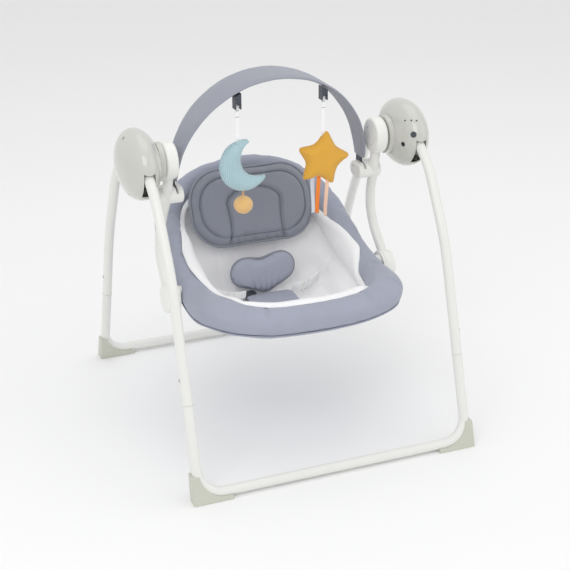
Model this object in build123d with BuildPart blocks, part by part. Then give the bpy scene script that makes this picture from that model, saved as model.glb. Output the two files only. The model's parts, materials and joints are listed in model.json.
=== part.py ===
from build123d import *
import os
from math import atan2, cos, radians, sin, sqrt

os.makedirs("parts", exist_ok=True)

# Portable baby swing. Millimetres, +Z up. X runs along the swing axis, and the child faces -Y.
# Pieces are drawn with the swing axis above Y = 0. They are written with the origin on the floor
# in the middle of the footprint, which lies behind the axis. The right-hand side is +X.

# Frame
AXIS_Z = 588.0
LEG_X = 293.0
TUBE_R = 10.25
TUBE_WALL = 1.4
BAR_Z = 14.0
FRONT_BAR_Y = -331.0
REAR_BAR_Y = 371.0
FOOTPRINT_Y = (FRONT_BAR_Y + REAR_BAR_Y) / 2
SEAM_Z = 185.0
SPIGOT_LENGTH = 65.0
SNAP_RISE = 48.0
FIT = 0.05

# Leg pivots inside the pods, as (Y, Z), and how far each pair of legs folds
FRONT_PIVOT = (-38.0, 614.0)
REAR_PIVOT = (40.0, 601.0)
FRONT_FOLD = 26.0
REAR_FOLD = -28.0
EYE_R = 14.0
PIN_R = 4.0

# Pods at the two ends of the swing axis: half sizes along X, Y and Z
POD_X = LEG_X
POD_HALF = (42.0, 90.0, 71.0)
POD_WALL = 3.0
COLLAR_R = 40.0
COLLAR_FACE_X = 245.0
SHAFT_R = 8.0
BUSH_R = 14.0
BUSH_END_X = 266.0

# Swing arms
HUB_R = 38.0
HUB_X = 230.0
HUB_WIDTH = 26.0
JOINT = (-28.0, 302.0)
JOINT_X = 248.0
JOINT_R = 30.0

# Toy bar: a half hoop on two straight legs
BAR_PIVOT = (39.0, 513.0)
HOOP_R = 210.0
HOOP_Z = 530.0
SLEEVE_THICK = 9.0
SLEEVE_WALL = 1.7
SLEEVE_END_Z = 544.0
BAR_END_TOP_Z = 550.0

# Toys
MOON_X = -90.0
STAR_X = 97.0
TOY_Y = -24.0
TOY_HINGE_Z = 690.0
STRAP_HALF_WIDTH = 4.0

FRONT = -1
REAR = 1


def save(part, node):
    """Move a finished piece to the footprint's origin, label it and write it as a node."""
    placed = Pos(0, -FOOTPRINT_Y, 0) * part
    placed.label = node
    export_step(placed, f"parts/{node}.step")


def save_pair(part, name):
    """Write a right-hand piece and its mirror image as two nodes."""
    save(part, f"right_{name}")
    save(mirror(part, about=Plane.YZ), f"left_{name}")


def save_both(part, name):
    """Write a right-hand piece and its mirror image as one node of separate solids."""
    save(Compound([*part.solids(), *mirror(part, about=Plane.YZ).solids()]), name)


def side_plane(x, y, z):
    """A plane at a point, facing +X, whose own axes are the object's Y and Z."""
    return Plane(origin=(x, y, z), x_dir=(0, 1, 0), z_dir=(1, 0, 0))


def rod(radius, x_from, x_to, y, z):
    """A round bar along X."""
    with BuildPart() as bar:
        with BuildSketch(side_plane(x_from, y, z)):
            Circle(radius)
        extrude(amount=x_to - x_from)
    return bar.part


def block(x_range, y_range, z_range):
    """A plain box between two limits on each axis."""
    with BuildPart() as box:
        with BuildSketch(Plane.XY.offset(z_range[0])):
            with Locations(((x_range[0] + x_range[1]) / 2, (y_range[0] + y_range[1]) / 2)):
                Rectangle(x_range[1] - x_range[0], y_range[1] - y_range[0])
        extrude(amount=z_range[1] - z_range[0])
    return box.part


def pipe(points, bends, outer, inner=0.0):
    """A round tube along straight runs joined by tangent arcs, solid when inner is zero."""
    with BuildPart() as tube:
        with BuildLine() as path:
            if bends:
                FilletPolyline(*points, radius=bends)
            else:
                Polyline(*points)
        with BuildSketch(path.line ^ 0):
            Circle(outer)
            if inner > 0:
                Circle(inner, mode=Mode.SUBTRACT)
        sweep()
    return tube.part


def toward(start, end, distance):
    """The point at a distance from start on the way to end."""
    start = Vector(*start)
    return start + (Vector(*end) - start).normalized() * distance


# ---------------------------------------------------------------------------------------------
# Legs: each pair is two bent tubes plugged into one U-shaped floor tube
# ---------------------------------------------------------------------------------------------

LEG_CORNERS = {
    FRONT: [FRONT_PIVOT, (-124.0, 544.0), (-206.0, 408.0), (FRONT_BAR_Y, BAR_Z)],
    REAR: [REAR_PIVOT, (168.0, 523.0), (262.0, 350.0), (REAR_BAR_Y, BAR_Z)],
}
LEG_BENDS = {FRONT: [170, 420], REAR: [120, 700]}
FLOOR_BEND = 52.0
SHANK_LENGTH = 34.0
SHANK_START = 16.0


def leg_point(end, corner):
    """A corner of a right-hand leg in space, counted from its pivot."""
    y, z = LEG_CORNERS[end][corner]
    return Vector(LEG_X, y, z)


def leg_at_height(end, z):
    """The point at height z on the straight lower run of a right-hand leg."""
    low = leg_point(end, 3)
    high = leg_point(end, 2)
    return low + (high - low) * ((z - low.Z) / (high.Z - low.Z))


def snap_plane(end):
    """Where a snap button sticks out of a right-hand leg."""
    place = leg_at_height(end, SEAM_Z + SNAP_RISE)
    return side_plane(LEG_X, place.Y, place.Z)


def leg_tube(end):
    """The right-hand leg from just below its pivot to the seam."""
    start = toward(leg_point(end, 0), leg_point(end, 1), SHANK_START)
    points = [start, leg_point(end, 1), leg_point(end, 2), leg_at_height(end, SEAM_Z)]
    tube = pipe(points, LEG_BENDS[end], TUBE_R, TUBE_R - TUBE_WALL)
    with BuildPart() as leg:
        add(tube)
        with BuildSketch(snap_plane(end)):
            Circle(3.6)
        extrude(amount=TUBE_R + 1, mode=Mode.SUBTRACT)
    return leg.part


def floor_path(end):
    """Corner points of the U-shaped floor tube, right side first."""
    right_top = leg_at_height(end, SEAM_Z)
    right_corner = leg_point(end, 3)
    left_corner = Vector(-right_corner.X, right_corner.Y, right_corner.Z)
    left_top = Vector(-right_top.X, right_top.Y, right_top.Z)
    return [right_top, right_corner, left_corner, left_top]


def floor_tube(end):
    """U-shaped floor tube with a thinner spigot inside the foot of each leg."""
    bends = [FLOOR_BEND, FLOOR_BEND]
    hoop = pipe(floor_path(end), bends, TUBE_R, TUBE_R - TUBE_WALL)
    spigot_r = TUBE_R - TUBE_WALL - FIT
    below = leg_at_height(end, SEAM_Z - 25)
    above = toward(leg_at_height(end, SEAM_Z), leg_point(end, 2), SPIGOT_LENGTH)
    spigot = pipe([below, above], None, spigot_r + FIT, spigot_r - TUBE_WALL)
    sleeve = pipe([leg_at_height(end, SEAM_Z), above], None, TUBE_R + 1, spigot_r)
    place = leg_at_height(end, SEAM_Z + SNAP_RISE)
    snap_hole = rod(3.6, LEG_X, LEG_X + TUBE_R + 1, place.Y, place.Z)
    with BuildPart() as right_spigot:
        add(spigot)
        add(sleeve, mode=Mode.SUBTRACT)
        add(snap_hole, mode=Mode.SUBTRACT)
    left_spigot = mirror(right_spigot.part, about=Plane.YZ)
    with BuildPart() as base:
        add(hoop)
        add(right_spigot.part)
        add(left_spigot)
    return base.part


def snap_button(end):
    """Domed pin of a right-hand snap button, on its leaf spring inside the spigot."""
    place = leg_at_height(end, SEAM_Z + SNAP_RISE)
    with BuildPart() as button:
        with BuildSketch(side_plane(LEG_X - 3, place.Y, place.Z)):
            Circle(3.4)
        extrude(amount=TUBE_R + 4.5)
        fillet(button.faces().sort_by(Axis.X)[-1].edges(), 1.6)
        with BuildSketch(side_plane(LEG_X - 4, place.Y, place.Z)):
            Circle(4.6)
        extrude(amount=1.2)
    return button.part


def knuckle(end):
    """Plastic eye in the top of a right-hand leg, turning on the pivot pin."""
    pivot = leg_point(end, 0)
    shank_end = toward(pivot, leg_point(end, 1), SHANK_START + SHANK_LENGTH)
    shank = pipe([pivot, shank_end], None, TUBE_R - TUBE_WALL - FIT)
    with BuildPart() as eye:
        with BuildSketch(side_plane(LEG_X, pivot.Y, pivot.Z)):
            Circle(EYE_R)
        extrude(amount=10, both=True)
        add(shank)
        with BuildSketch(side_plane(LEG_X, pivot.Y, pivot.Z)):
            Circle(PIN_R + FIT)
        extrude(amount=11, both=True, mode=Mode.SUBTRACT)
    return eye.part


FOOT_OUT = 13.0
FOOT_HALF_DEPTH = 14.0
FOOT_HEIGHT = 54.0
FOOT_LENGTH = 66.0


def foot(end):
    """Right-hand plastic boot round the outside of the floor tube's bend."""
    bar_y = LEG_CORNERS[end][3][0]
    lean = leg_at_height(end, FOOT_HEIGHT).Y - bar_y
    outer_x = LEG_X + FOOT_OUT
    inner_x = LEG_X - FOOT_LENGTH
    top_half = FOOT_HALF_DEPTH - 1
    front_view = Plane(origin=(0, bar_y, 0), x_dir=(1, 0, 0), z_dir=(0, -1, 0))
    channel = pipe(floor_path(end), [FLOOR_BEND, FLOOR_BEND], TUBE_R)
    with BuildPart() as boot:
        with BuildSketch(front_view):
            with BuildLine():
                Line((inner_x, 0), (outer_x + 1, 0))
                Line((outer_x + 1, 0), (outer_x, FOOT_HEIGHT))
                Line((outer_x, FOOT_HEIGHT), (LEG_X - 2, FOOT_HEIGHT))
                ThreePointArc((LEG_X - 2, FOOT_HEIGHT), (LEG_X - 17, 24), (inner_x, 10))
                Line((inner_x, 10), (inner_x, 0))
            make_face()
        extrude(amount=60, both=True)
        with BuildSketch(side_plane(inner_x - 5, 0, 0)):
            with BuildLine():
                Polyline(
                    (bar_y - FOOT_HALF_DEPTH, 0),
                    (bar_y + FOOT_HALF_DEPTH, 0),
                    (bar_y + lean + top_half, FOOT_HEIGHT),
                    (bar_y + lean - top_half, FOOT_HEIGHT),
                    close=True,
                )
            make_face()
        extrude(amount=FOOT_LENGTH + FOOT_OUT + 20, mode=Mode.INTERSECT)
        add(channel, mode=Mode.SUBTRACT)
    return boot.part.solids().sort_by(SortBy.VOLUME)[-1]


for end, name in ((FRONT, "front"), (REAR, "rear")):
    leg = leg_tube(end)
    save(leg, f"{name}_leg_right")
    save(mirror(leg, about=Plane.YZ), f"{name}_leg_left")
    save(floor_tube(end), f"{name}_floor_tube")
    save_both(snap_button(end), f"{name}_snap_buttons")
    save_both(knuckle(end), f"{name}_leg_knuckles")
    save_both(foot(end), f"{name}_feet")

# ---------------------------------------------------------------------------------------------
# Pods: two half shells each, closed round the leg pivots, the swing shaft and the drive
# ---------------------------------------------------------------------------------------------


def ellipsoid(margin=0.0):
    """The right-hand pod's outer shape, made smaller all round by a margin."""
    half = [size - margin for size in POD_HALF]
    ball = scale(Rot(0, 90, 0) * Sphere(1), by=(half[0], half[1], half[2]))
    return Pos(POD_X, 0, AXIS_Z) * ball


def pod_front(x, z):
    """A plane on the front of the right-hand pod, facing straight out of its surface."""
    across = (x - POD_X) / POD_HALF[0]
    up = (z - AXIS_Z) / POD_HALF[2]
    y = -POD_HALF[1] * sqrt(1 - across**2 - up**2)
    normal = Vector(across / POD_HALF[0], y / POD_HALF[1] ** 2, up / POD_HALF[2])
    return Plane(origin=(x, y, z), z_dir=normal)


def leg_slot(pivot, corner, fold):
    """The space that a right-hand leg sweeps inside the pod as it folds."""
    start = atan2(corner[1] - pivot[1], corner[0] - pivot[0])
    reach = 115.0
    slot_r = TUBE_R + 2.0
    with BuildPart() as slot:
        with BuildSketch(side_plane(LEG_X, 0, 0)):
            with Locations(pivot):
                Circle(slot_r + 4)
            for share in (0.0, 0.5, 1.0):
                angle = start + radians(fold) * share
                with Locations((pivot[0] + reach * cos(angle), pivot[1] + reach * sin(angle))):
                    Circle(slot_r)
            make_hull()
        extrude(amount=TUBE_R + 1.2, both=True)
    return slot.part


FRONT_SLOT = leg_slot(FRONT_PIVOT, LEG_CORNERS[FRONT][1], FRONT_FOLD)
REAR_SLOT = leg_slot(REAR_PIVOT, LEG_CORNERS[REAR][1], REAR_FOLD)
SCREW_SPOTS = [(-20.0, 534.0), (20.0, 534.0), (0.0, 643.0)]
SCREW_R = 2.0
BOSS_R = 8.0
BUTTON_SPOT = (277.0, 605.0)
BUTTON_R = 6.0
INLET_SPOT = (263.0, 581.0)
INLET_R = 5.0
LIGHT_SPOTS = [(270.0, 629.0), (279.0, 631.0), (288.0, 631.0)]
LIGHT_R = 1.8
DOOR_HALF = (30.0, 30.0)
DOOR_GAP = 0.4


POD_OUTSIDE = ellipsoid()
POD_INSIDE = ellipsoid(POD_WALL)


def pod_solid():
    """The right-hand pod's walls and inner posts in one piece, before it is split."""
    within = ellipsoid(0.5)
    posts = [rod(BOSS_R, 240, 345, *pivot) & within for pivot in (FRONT_PIVOT, REAR_PIVOT)]
    posts += [rod(5.0, 240, 345, *spot) & within for spot in SCREW_SPOTS]
    holes = [rod(PIN_R, LEG_X - 22, LEG_X + 22, *pivot) for pivot in (FRONT_PIVOT, REAR_PIVOT)]
    holes += [rod(SCREW_R, LEG_X - 14, 345, *spot) for spot in SCREW_SPOTS]
    holes += [rod(4.0, LEG_X + 14, 345, *spot) for spot in SCREW_SPOTS]
    with BuildPart() as pod:
        add(POD_OUTSIDE)
        add(POD_INSIDE, mode=Mode.SUBTRACT)
        add(posts)
        add([FRONT_SLOT, REAR_SLOT], mode=Mode.SUBTRACT)
        add(holes, mode=Mode.SUBTRACT)
    return pod.part


POD = pod_solid()
COLLAR = rod(COLLAR_R, COLLAR_FACE_X, 256, 0, AXIS_Z)
BEARING_SEAT = rod(BUSH_R + 4, COLLAR_FACE_X, BUSH_END_X, 0, AXIS_Z)
BEARING_BORE = rod(BUSH_R, COLLAR_FACE_X - 1, BUSH_END_X + 1, 0, AXIS_Z)


def inner_shell(electronics):
    """The half shell that faces the child, with the collar and the bearing seat."""
    with BuildPart() as shell:
        add(POD)
        split(bisect_by=side_plane(LEG_X, 0, 0), keep=Keep.BOTTOM)
        add([COLLAR, BEARING_SEAT])
        add(BEARING_BORE, mode=Mode.SUBTRACT)
        if electronics:
            with BuildSketch(*[pod_front(*spot) for spot in LIGHT_SPOTS]):
                Circle(LIGHT_R)
            extrude(amount=9, both=True, mode=Mode.SUBTRACT)
            with BuildSketch(pod_front(*BUTTON_SPOT)):
                Circle(BUTTON_R + 0.3)
            extrude(amount=9, both=True, mode=Mode.SUBTRACT)
            with BuildSketch(pod_front(*INLET_SPOT)):
                Circle(INLET_R)
            extrude(amount=9, both=True, mode=Mode.SUBTRACT)
    return shell.part


def door_prism(gap):
    """The column that cuts the battery door out of the outer shell."""
    return block(
        (LEG_X + 20, LEG_X + 60),
        (-DOOR_HALF[0] + gap, DOOR_HALF[0] - gap),
        (AXIS_Z - DOOR_HALF[1] + gap, AXIS_Z + DOOR_HALF[1] - gap),
    )


def outer_shell(opening=None):
    """The half shell on the outside, with an opening cut for the battery door if one is given."""
    with BuildPart() as shell:
        add(POD)
        split(bisect_by=side_plane(LEG_X, 0, 0), keep=Keep.TOP)
        if opening:
            add(opening, mode=Mode.SUBTRACT)
    return shell.part


door_column = door_prism(DOOR_GAP)
with BuildPart() as battery_door:
    add(door_column)
    add(POD_OUTSIDE, mode=Mode.INTERSECT)
    add(POD_INSIDE, mode=Mode.SUBTRACT)
save(battery_door.part, "battery_door")

save(inner_shell(electronics=True), "right_pod_inner")
save(mirror(inner_shell(electronics=False), about=Plane.YZ), "left_pod_inner")
save(outer_shell(opening=door_prism(0.0)), "right_pod_outer")
save(mirror(outer_shell(), about=Plane.YZ), "left_pod_outer")

# Pins and screws that close each pod
leg_pins = [rod(PIN_R, LEG_X - 22, LEG_X + 22, *pivot) for pivot in (FRONT_PIVOT, REAR_PIVOT)]
save_both(Compound(leg_pins), "leg_pivot_pins")


def pod_screw(spot):
    """A pan-head screw from the outer shell into the inner one."""
    shank = rod(SCREW_R, LEG_X - 14, LEG_X + 14, *spot)
    head = rod(3.7, LEG_X + 14, LEG_X + 17, *spot)
    with BuildPart() as screw:
        add([shank, head])
        with BuildSketch(side_plane(LEG_X + 17, *spot)):
            Rectangle(4.6, 1.0)
            Rectangle(1.0, 4.6)
        extrude(amount=-1.4, mode=Mode.SUBTRACT)
    return screw.part


save_both(Compound([pod_screw(spot) for spot in SCREW_SPOTS]), "pod_screws")

# Bearing bushes and the shafts that turn in them
with BuildPart() as bush:
    with BuildSketch(side_plane(COLLAR_FACE_X, 0, AXIS_Z)):
        Circle(BUSH_R)
        Circle(SHAFT_R + FIT, mode=Mode.SUBTRACT)
    extrude(amount=BUSH_END_X - COLLAR_FACE_X)
save_both(bush.part, "swing_bushes")
save_both(rod(SHAFT_R, HUB_X - 9, 280, 0, AXIS_Z), "swing_shafts")

# Drive in the right-hand pod: a magnet on a lever swings past a fixed coil
LEVER_X = 269.0
MAGNET_Z = AXIS_Z - 42.0
with BuildPart() as lever:
    with BuildSketch(side_plane(LEVER_X, 0, 0)):
        with Locations((0, AXIS_Z)):
            Circle(13)
        with Locations((0, MAGNET_Z)):
            Circle(8)
        make_hull()
        with Locations((0, AXIS_Z)):
            Circle(SHAFT_R, mode=Mode.SUBTRACT)
    extrude(amount=5)
save(lever.part, "drive_lever")
save(rod(7.0, LEVER_X + 5, LEVER_X + 8, 0, MAGNET_Z), "drive_magnet")

COIL_X = LEVER_X + 10
with BuildPart() as coil:
    with BuildSketch(side_plane(COIL_X, 0, MAGNET_Z)):
        Circle(11)
        Circle(3, mode=Mode.SUBTRACT)
    extrude(amount=6)
save(coil.part, "drive_coil")

BOARD_X = COIL_X + 6
with BuildPart() as board:
    with BuildSketch(side_plane(BOARD_X, 0, 553)):
        RectangleRounded(34, 36, 3)
        for spot in SCREW_SPOTS[:2]:
            with Locations((spot[0], spot[1] - 553)):
                Circle(6, mode=Mode.SUBTRACT)
    extrude(amount=1.6)
    with BuildSketch(side_plane(BOARD_X + 1.6, 0, 555)):
        Rectangle(12, 12)
        with Locations((-11, 8), (11, 8)):
            Rectangle(4, 7)
    extrude(amount=2)
save(board.part, "circuit_board")

with BuildPart() as speaker:
    with BuildSketch(side_plane(268, 30, 569)):
        Circle(11)
    extrude(amount=3)
    with BuildSketch(side_plane(271, 30, 569)):
        Circle(6)
    extrude(amount=5)
save(speaker.part, "speaker")

# Four cells in a tray behind the battery door
TRAY_X = 304.5
CELL_R = 7.0
CELL_LENGTH = 50.0
CELL_PITCH = 14.3
CELL_X = TRAY_X + CELL_R + 1.5
cell_rows = [(CELL_PITCH * (row - 1.5), 0) for row in range(4)]


def cell_plane(y):
    """A plane across the cells whose first axis points up."""
    return Plane(origin=(CELL_X, y, AXIS_Z), x_dir=(0, 0, 1), z_dir=(0, 1, 0))


with BuildPart() as cell:
    with BuildSketch(cell_plane(-CELL_LENGTH / 2)):
        with Locations(*cell_rows):
            Circle(CELL_R)
    extrude(amount=CELL_LENGTH - 1.5)
    with BuildSketch(cell_plane(CELL_LENGTH / 2 - 1.5)):
        with Locations(*cell_rows):
            Circle(2.6)
    extrude(amount=1.4)
save(cell.part, "batteries")

tray_block = block((TRAY_X, TRAY_X + 10), (-28, 28), (AXIS_Z - 30, AXIS_Z + 30))
with BuildPart() as tray:
    add(tray_block)
    with BuildSketch(cell_plane(-CELL_LENGTH / 2 - 0.3)):
        with Locations(*cell_rows):
            Circle(CELL_R + 0.1)
    extrude(amount=CELL_LENGTH + 0.6, mode=Mode.SUBTRACT)
save(tray.part, "battery_tray")

# Lights, push button and power inlet on the front of the right-hand pod
with BuildPart() as lights:
    with BuildSketch(*[pod_front(*spot).offset(-5) for spot in LIGHT_SPOTS]):
        Circle(LIGHT_R)
    extrude(amount=5.5)
save(lights.part, "indicator_lights")

button_place = pod_front(*BUTTON_SPOT)
with BuildPart() as push_button:
    with BuildSketch(button_place.offset(-5)):
        Circle(BUTTON_R)
    extrude(amount=6.6)
    fillet(push_button.edges().sort_by(Axis.Y)[0], 0.8)
save(push_button.part, "power_button")

with BuildPart() as inlet:
    with BuildSketch(pod_front(*INLET_SPOT).offset(-7)):
        Circle(INLET_R)
    extrude(amount=7.4)
    with BuildSketch(pod_front(*INLET_SPOT).offset(-5)):
        Circle(3.2)
        Circle(1.0, mode=Mode.SUBTRACT)
    extrude(amount=8, mode=Mode.SUBTRACT)
save(inlet.part, "power_inlet")

# ---------------------------------------------------------------------------------------------
# Swing arms: hubs on the shafts, bent tubes, toy bar brackets and recline joints
# ---------------------------------------------------------------------------------------------

ARM_POINTS = [
    (HUB_X, 0, AXIS_Z - 12),
    (HUB_X + 1, 6, 518),
    (238, 41, 443),
    (244.5, 42, 383),
    (JOINT_X - 1, -17, 318),
]
ARM_BENDS = [200, 160, 90]
arm = pipe(ARM_POINTS, ARM_BENDS, TUBE_R, TUBE_R - TUBE_WALL)
arm_core = pipe(ARM_POINTS, ARM_BENDS, TUBE_R)
save_pair(arm, "swing_arm")

shaft_bore = rod(SHAFT_R, HUB_X - 9, HUB_X + 20, 0, AXIS_Z)
with BuildPart() as hub:
    with BuildSketch(side_plane(HUB_X - HUB_WIDTH / 2, 0, AXIS_Z)):
        Circle(HUB_R)
    extrude(amount=HUB_WIDTH)
    fillet(hub.edges().filter_by(GeomType.CIRCLE), 6)
    with BuildSketch(side_plane(HUB_X - HUB_WIDTH / 2, 0, AXIS_Z)):
        Circle(22)
        Circle(19.5, mode=Mode.SUBTRACT)
    extrude(amount=1.2, mode=Mode.SUBTRACT)
    add([shaft_bore, arm_core], mode=Mode.SUBTRACT)
save_pair(hub.part, "hub")

# Bracket: a clamp on the arm with two cheeks that hold the toy bar's end
BRACKET_X = (196.0, 247.0)
END_THICK = 3.4
END_X = HOOP_R - END_THICK / 2
END_R = 12.0
bar_y, bar_z = BAR_PIVOT
bracket_bore = rod(3.0, BRACKET_X[0] - 1, 221, bar_y, bar_z)
with BuildPart() as bracket:
    with BuildSketch(side_plane(BRACKET_X[0], 0, 0)):
        with Locations((bar_y, bar_z - 6)):
            Circle(17)
        with Locations((20, bar_z - 6)):
            Circle(17)
        make_hull()
    extrude(amount=BRACKET_X[1] - BRACKET_X[0])
    fillet(bracket.faces().sort_by(Axis.X)[0].edges(), 4)
    fillet(bracket.faces().sort_by(Axis.X)[-1].edges(), 4)
    with BuildSketch(side_plane(END_X - 0.8, 0, 0)):
        with Locations((bar_y, bar_z + 16)):
            Rectangle(90, 32)
        with Locations((bar_y, bar_z)):
            Circle(END_R + 0.8)
    extrude(amount=END_THICK + 1.6, mode=Mode.SUBTRACT)
    add([arm_core, bracket_bore], mode=Mode.SUBTRACT)
save_both(bracket.part, "toy_bar_brackets")
save_both(rod(3.0, BRACKET_X[0] + 0.5, 221, bar_y, bar_z), "bracket_pins")

joint_y, joint_z = JOINT
joint_bore = rod(6.0 + FIT, 230, 256, joint_y, joint_z)
with BuildPart() as recline_housing:
    with BuildSketch(side_plane(JOINT_X - 12, 0, 0)):
        with Locations((joint_y, joint_z)):
            Circle(JOINT_R)
    extrude(amount=24)
    fillet(recline_housing.faces().sort_by(Axis.X)[-1].edges(), 7)
    add([arm_core, joint_bore], mode=Mode.SUBTRACT)
save_both(recline_housing.part, "recline_housings")

# ---------------------------------------------------------------------------------------------
# Seat: a ring tube inside a padded border, a hanging liner, its outer cover and the soft parts
# ---------------------------------------------------------------------------------------------

# Centre of the padded border on the right-hand side from head to foot: (X, Y, Z)
BORDER_PATH = [
    (0, 220, 474),
    (75, 216, 463),
    (139, 207, 437),
    (178, 184, 402),
    (192, 138, 372),
    (193, 80, 348),
    (195, 20, 325),
    (199, -45, 308),
    (200, -110, 302),
    (190, -165, 306),
    (160, -206, 304),
    (90, -223, 297),
    (0, -226, 293),
]
# Half the border's width and height at each of those places
BORDER_SIZE = [
    (24, 36),
    (25, 38),
    (28, 40),
    (31, 43),
    (31, 43),
    (30, 41),
    (30, 38),
    (31, 35),
    (31, 33),
    (31, 31),
    (31, 30),
    (30, 30),
    (30, 30),
]
RING_R = 7.0
RING_CLEAR = 1.5


def border_planes():
    """Cross-section planes of the border, square to its path seen from above."""
    planes = []
    last = len(BORDER_PATH) - 1
    for index, (x, y, z) in enumerate(BORDER_PATH):
        before = Vector(*BORDER_PATH[max(index - 1, 0)])
        after = Vector(*BORDER_PATH[min(index + 1, last)])
        along = after - before
        if index in (0, last):
            along = Vector(along.X, 0, 0)
        along = Vector(along.X, along.Y, 0).normalized()
        outward = Vector(0, 0, 1).cross(along)
        planes.append(Plane(origin=(x, y, z), x_dir=outward, z_dir=along))
    return planes


def border_loft(sizes):
    """A closed loop lofted through ellipses on the border's planes, both sides."""
    with BuildPart() as loop:
        for plane, (wide, high) in zip(border_planes(), sizes):
            with BuildSketch(plane):
                Ellipse(wide, high)
        loft()
        mirror(about=Plane.YZ)
    return loop.part


seat_ring = border_loft([(RING_R, RING_R)] * len(BORDER_PATH))
ring_space = border_loft([(RING_R + RING_CLEAR, RING_R + RING_CLEAR)] * len(BORDER_PATH))
save(seat_ring, "seat_frame_ring")

BOSS_REACH_X = 206.5
PLATE_X = 230.6
recline_pin = rod(6.0, PLATE_X, 252, joint_y, joint_z)
plate = rod(30.0, PLATE_X, JOINT_X - 12.6, joint_y, joint_z)
boss = rod(14.0, BOSS_REACH_X, PLATE_X, joint_y, joint_z + 9)
with BuildPart() as seat_bracket:
    add([plate, boss])
    add(recline_pin, mode=Mode.SUBTRACT)
save_both(seat_bracket.part, "seat_brackets")
save_both(recline_pin, "recline_pins")

boss_hole = rod(14.5, BOSS_REACH_X - 7, PLATE_X, joint_y, joint_z + 9)
padding = border_loft(BORDER_SIZE)
with BuildPart() as border:
    add(padding)
    add(ring_space, mode=Mode.SUBTRACT)
    add([boss_hole, mirror(boss_hole, about=Plane.YZ)], mode=Mode.SUBTRACT)
save(border.part, "seat_border")

# Level, half width, front edge, back edge and corner radius of the seat's hollow
BASIN_LEVELS = [
    (224, 95, -85, 70, 45),
    (240, 128, -132, 96, 55),
    (268, 148, -166, 118, 60),
    (308, 158, -184, 138, 65),
    (368, 158, -188, 160, 70),
    (428, 154, -188, 176, 75),
    (488, 142, -188, 190, 80),
]
LINER_WALL = 3.0
COVER_GAP = 3.0
COVER_WALL = 3.0


def basin(grow):
    """The solid that fills the seat's hollow, grown on every side."""
    with BuildPart() as fill:
        for z, half_width, front, back, corner in BASIN_LEVELS:
            depth = back - front + 2 * grow
            height = z - (grow if z == BASIN_LEVELS[0][0] else 0)
            with BuildSketch(Plane.XY.offset(height)):
                with Locations((0, (front + back) / 2)):
                    RectangleRounded(2 * (half_width + grow), depth, corner + grow)
        loft()
    return fill.part


def below_border(drop):
    """Everything lower than the border's centre line, seen from the side, less a drop."""
    edge = [(y, z - drop) for _, y, z in BORDER_PATH]
    with BuildPart() as under:
        with BuildSketch(side_plane(-260, 0, 0)):
            with BuildLine():
                front_top = (-300, edge[-1][1])
                back_top = (300, edge[0][1])
                Polyline((-300, 150), front_top, *reversed(edge), back_top, (300, 150), close=True)
            make_face()
        extrude(amount=520)
    return under.part


hollow = basin(0)
liner_inside = basin(-LINER_WALL)
liner_edge = below_border(-4)
with BuildPart() as liner:
    add(hollow)
    add(liner_inside, mode=Mode.SUBTRACT)
    add(liner_edge, mode=Mode.INTERSECT)
save(liner.part, "seat_liner")

cover_outside = basin(COVER_GAP + COVER_WALL)
cover_inside = basin(COVER_GAP)
cover_edge = below_border(0)
padding_room = border_loft([(wide + 1, high + 1) for wide, high in BORDER_SIZE])
with BuildPart() as cover:
    add(cover_outside)
    add(cover_inside, mode=Mode.SUBTRACT)
    add(cover_edge, mode=Mode.INTERSECT)
    add(padding_room, mode=Mode.SUBTRACT)
save(cover.part.solids().sort_by(SortBy.VOLUME)[-1], "seat_cover")

# Head pillow, leaning on the head end of the seat
PILLOW_CENTRE = (0, 141, 418)
PILLOW_SIZE = (286, 172)
PILLOW_THICK = 22.0
PILLOW_LEAN = 22.0
pillow_plane = Plane(
    origin=PILLOW_CENTRE,
    x_dir=(1, 0, 0),
    z_dir=(0, -cos(radians(PILLOW_LEAN)), sin(radians(PILLOW_LEAN))),
)
with BuildPart() as pillow:
    with BuildSketch(pillow_plane.offset(-PILLOW_THICK / 2)):
        RectangleRounded(*PILLOW_SIZE, 66)
    extrude(amount=PILLOW_THICK)
    fillet(pillow.edges(), 9)
save(pillow.part, "head_pillow")

# Harness: a bean-shaped pad standing on a flat crotch strap, and two waist straps
with BuildPart() as crotch_pad:
    with BuildSketch(Plane(origin=(0, 76, 284), x_dir=(1, 0, 0), z_dir=(0, -1, 0.12))):
        with Locations((-40, 8), (38, 12)):
            Circle(36)
        make_hull()
        with Locations((0, -14)):
            Circle(32)
        make_hull()
    extrude(amount=18)
    fillet(crotch_pad.edges(), 8)
save(crotch_pad.part, "crotch_pad")

with BuildPart() as crotch_strap:
    with BuildSketch(Plane.XY.offset(228)):
        with Locations((0, 14)):
            RectangleRounded(96, 66, 14)
    extrude(amount=7)
save(crotch_strap.part, "crotch_strap")

with BuildPart() as buckle:
    with BuildSketch(Plane.XY.offset(236)):
        with Locations((-38, 62)):
            RectangleRounded(30, 22, 5)
    extrude(amount=9)
    fillet(buckle.faces().sort_by(Axis.Z)[-1].edges(), 2.5)
save(buckle.part, "buckle")

with BuildPart() as waist_straps:
    with BuildSketch(Plane(origin=(92, 45, 250), x_dir=(0.86, 0.2, 0.46), z_dir=(-0.3, -0.6, 0.74))):
        RectangleRounded(62, 34, 8)
    extrude(amount=6)
    fillet(waist_straps.edges(), 1.5)
save_both(waist_straps.part, "waist_straps")

# ---------------------------------------------------------------------------------------------
# Toy bar: plastic ends, a springy core strip and the fabric sleeve drawn over it
# ---------------------------------------------------------------------------------------------

HOOP_TOP_Z = HOOP_Z + HOOP_R
SLEEVE_FOOT = (9.0, 63.0)
SLEEVE_TOP = (-38.0, 72.0)
front_facing = Plane(origin=(0, 0, 0), x_dir=(1, 0, 0), z_dir=(0, -1, 0))


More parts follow.
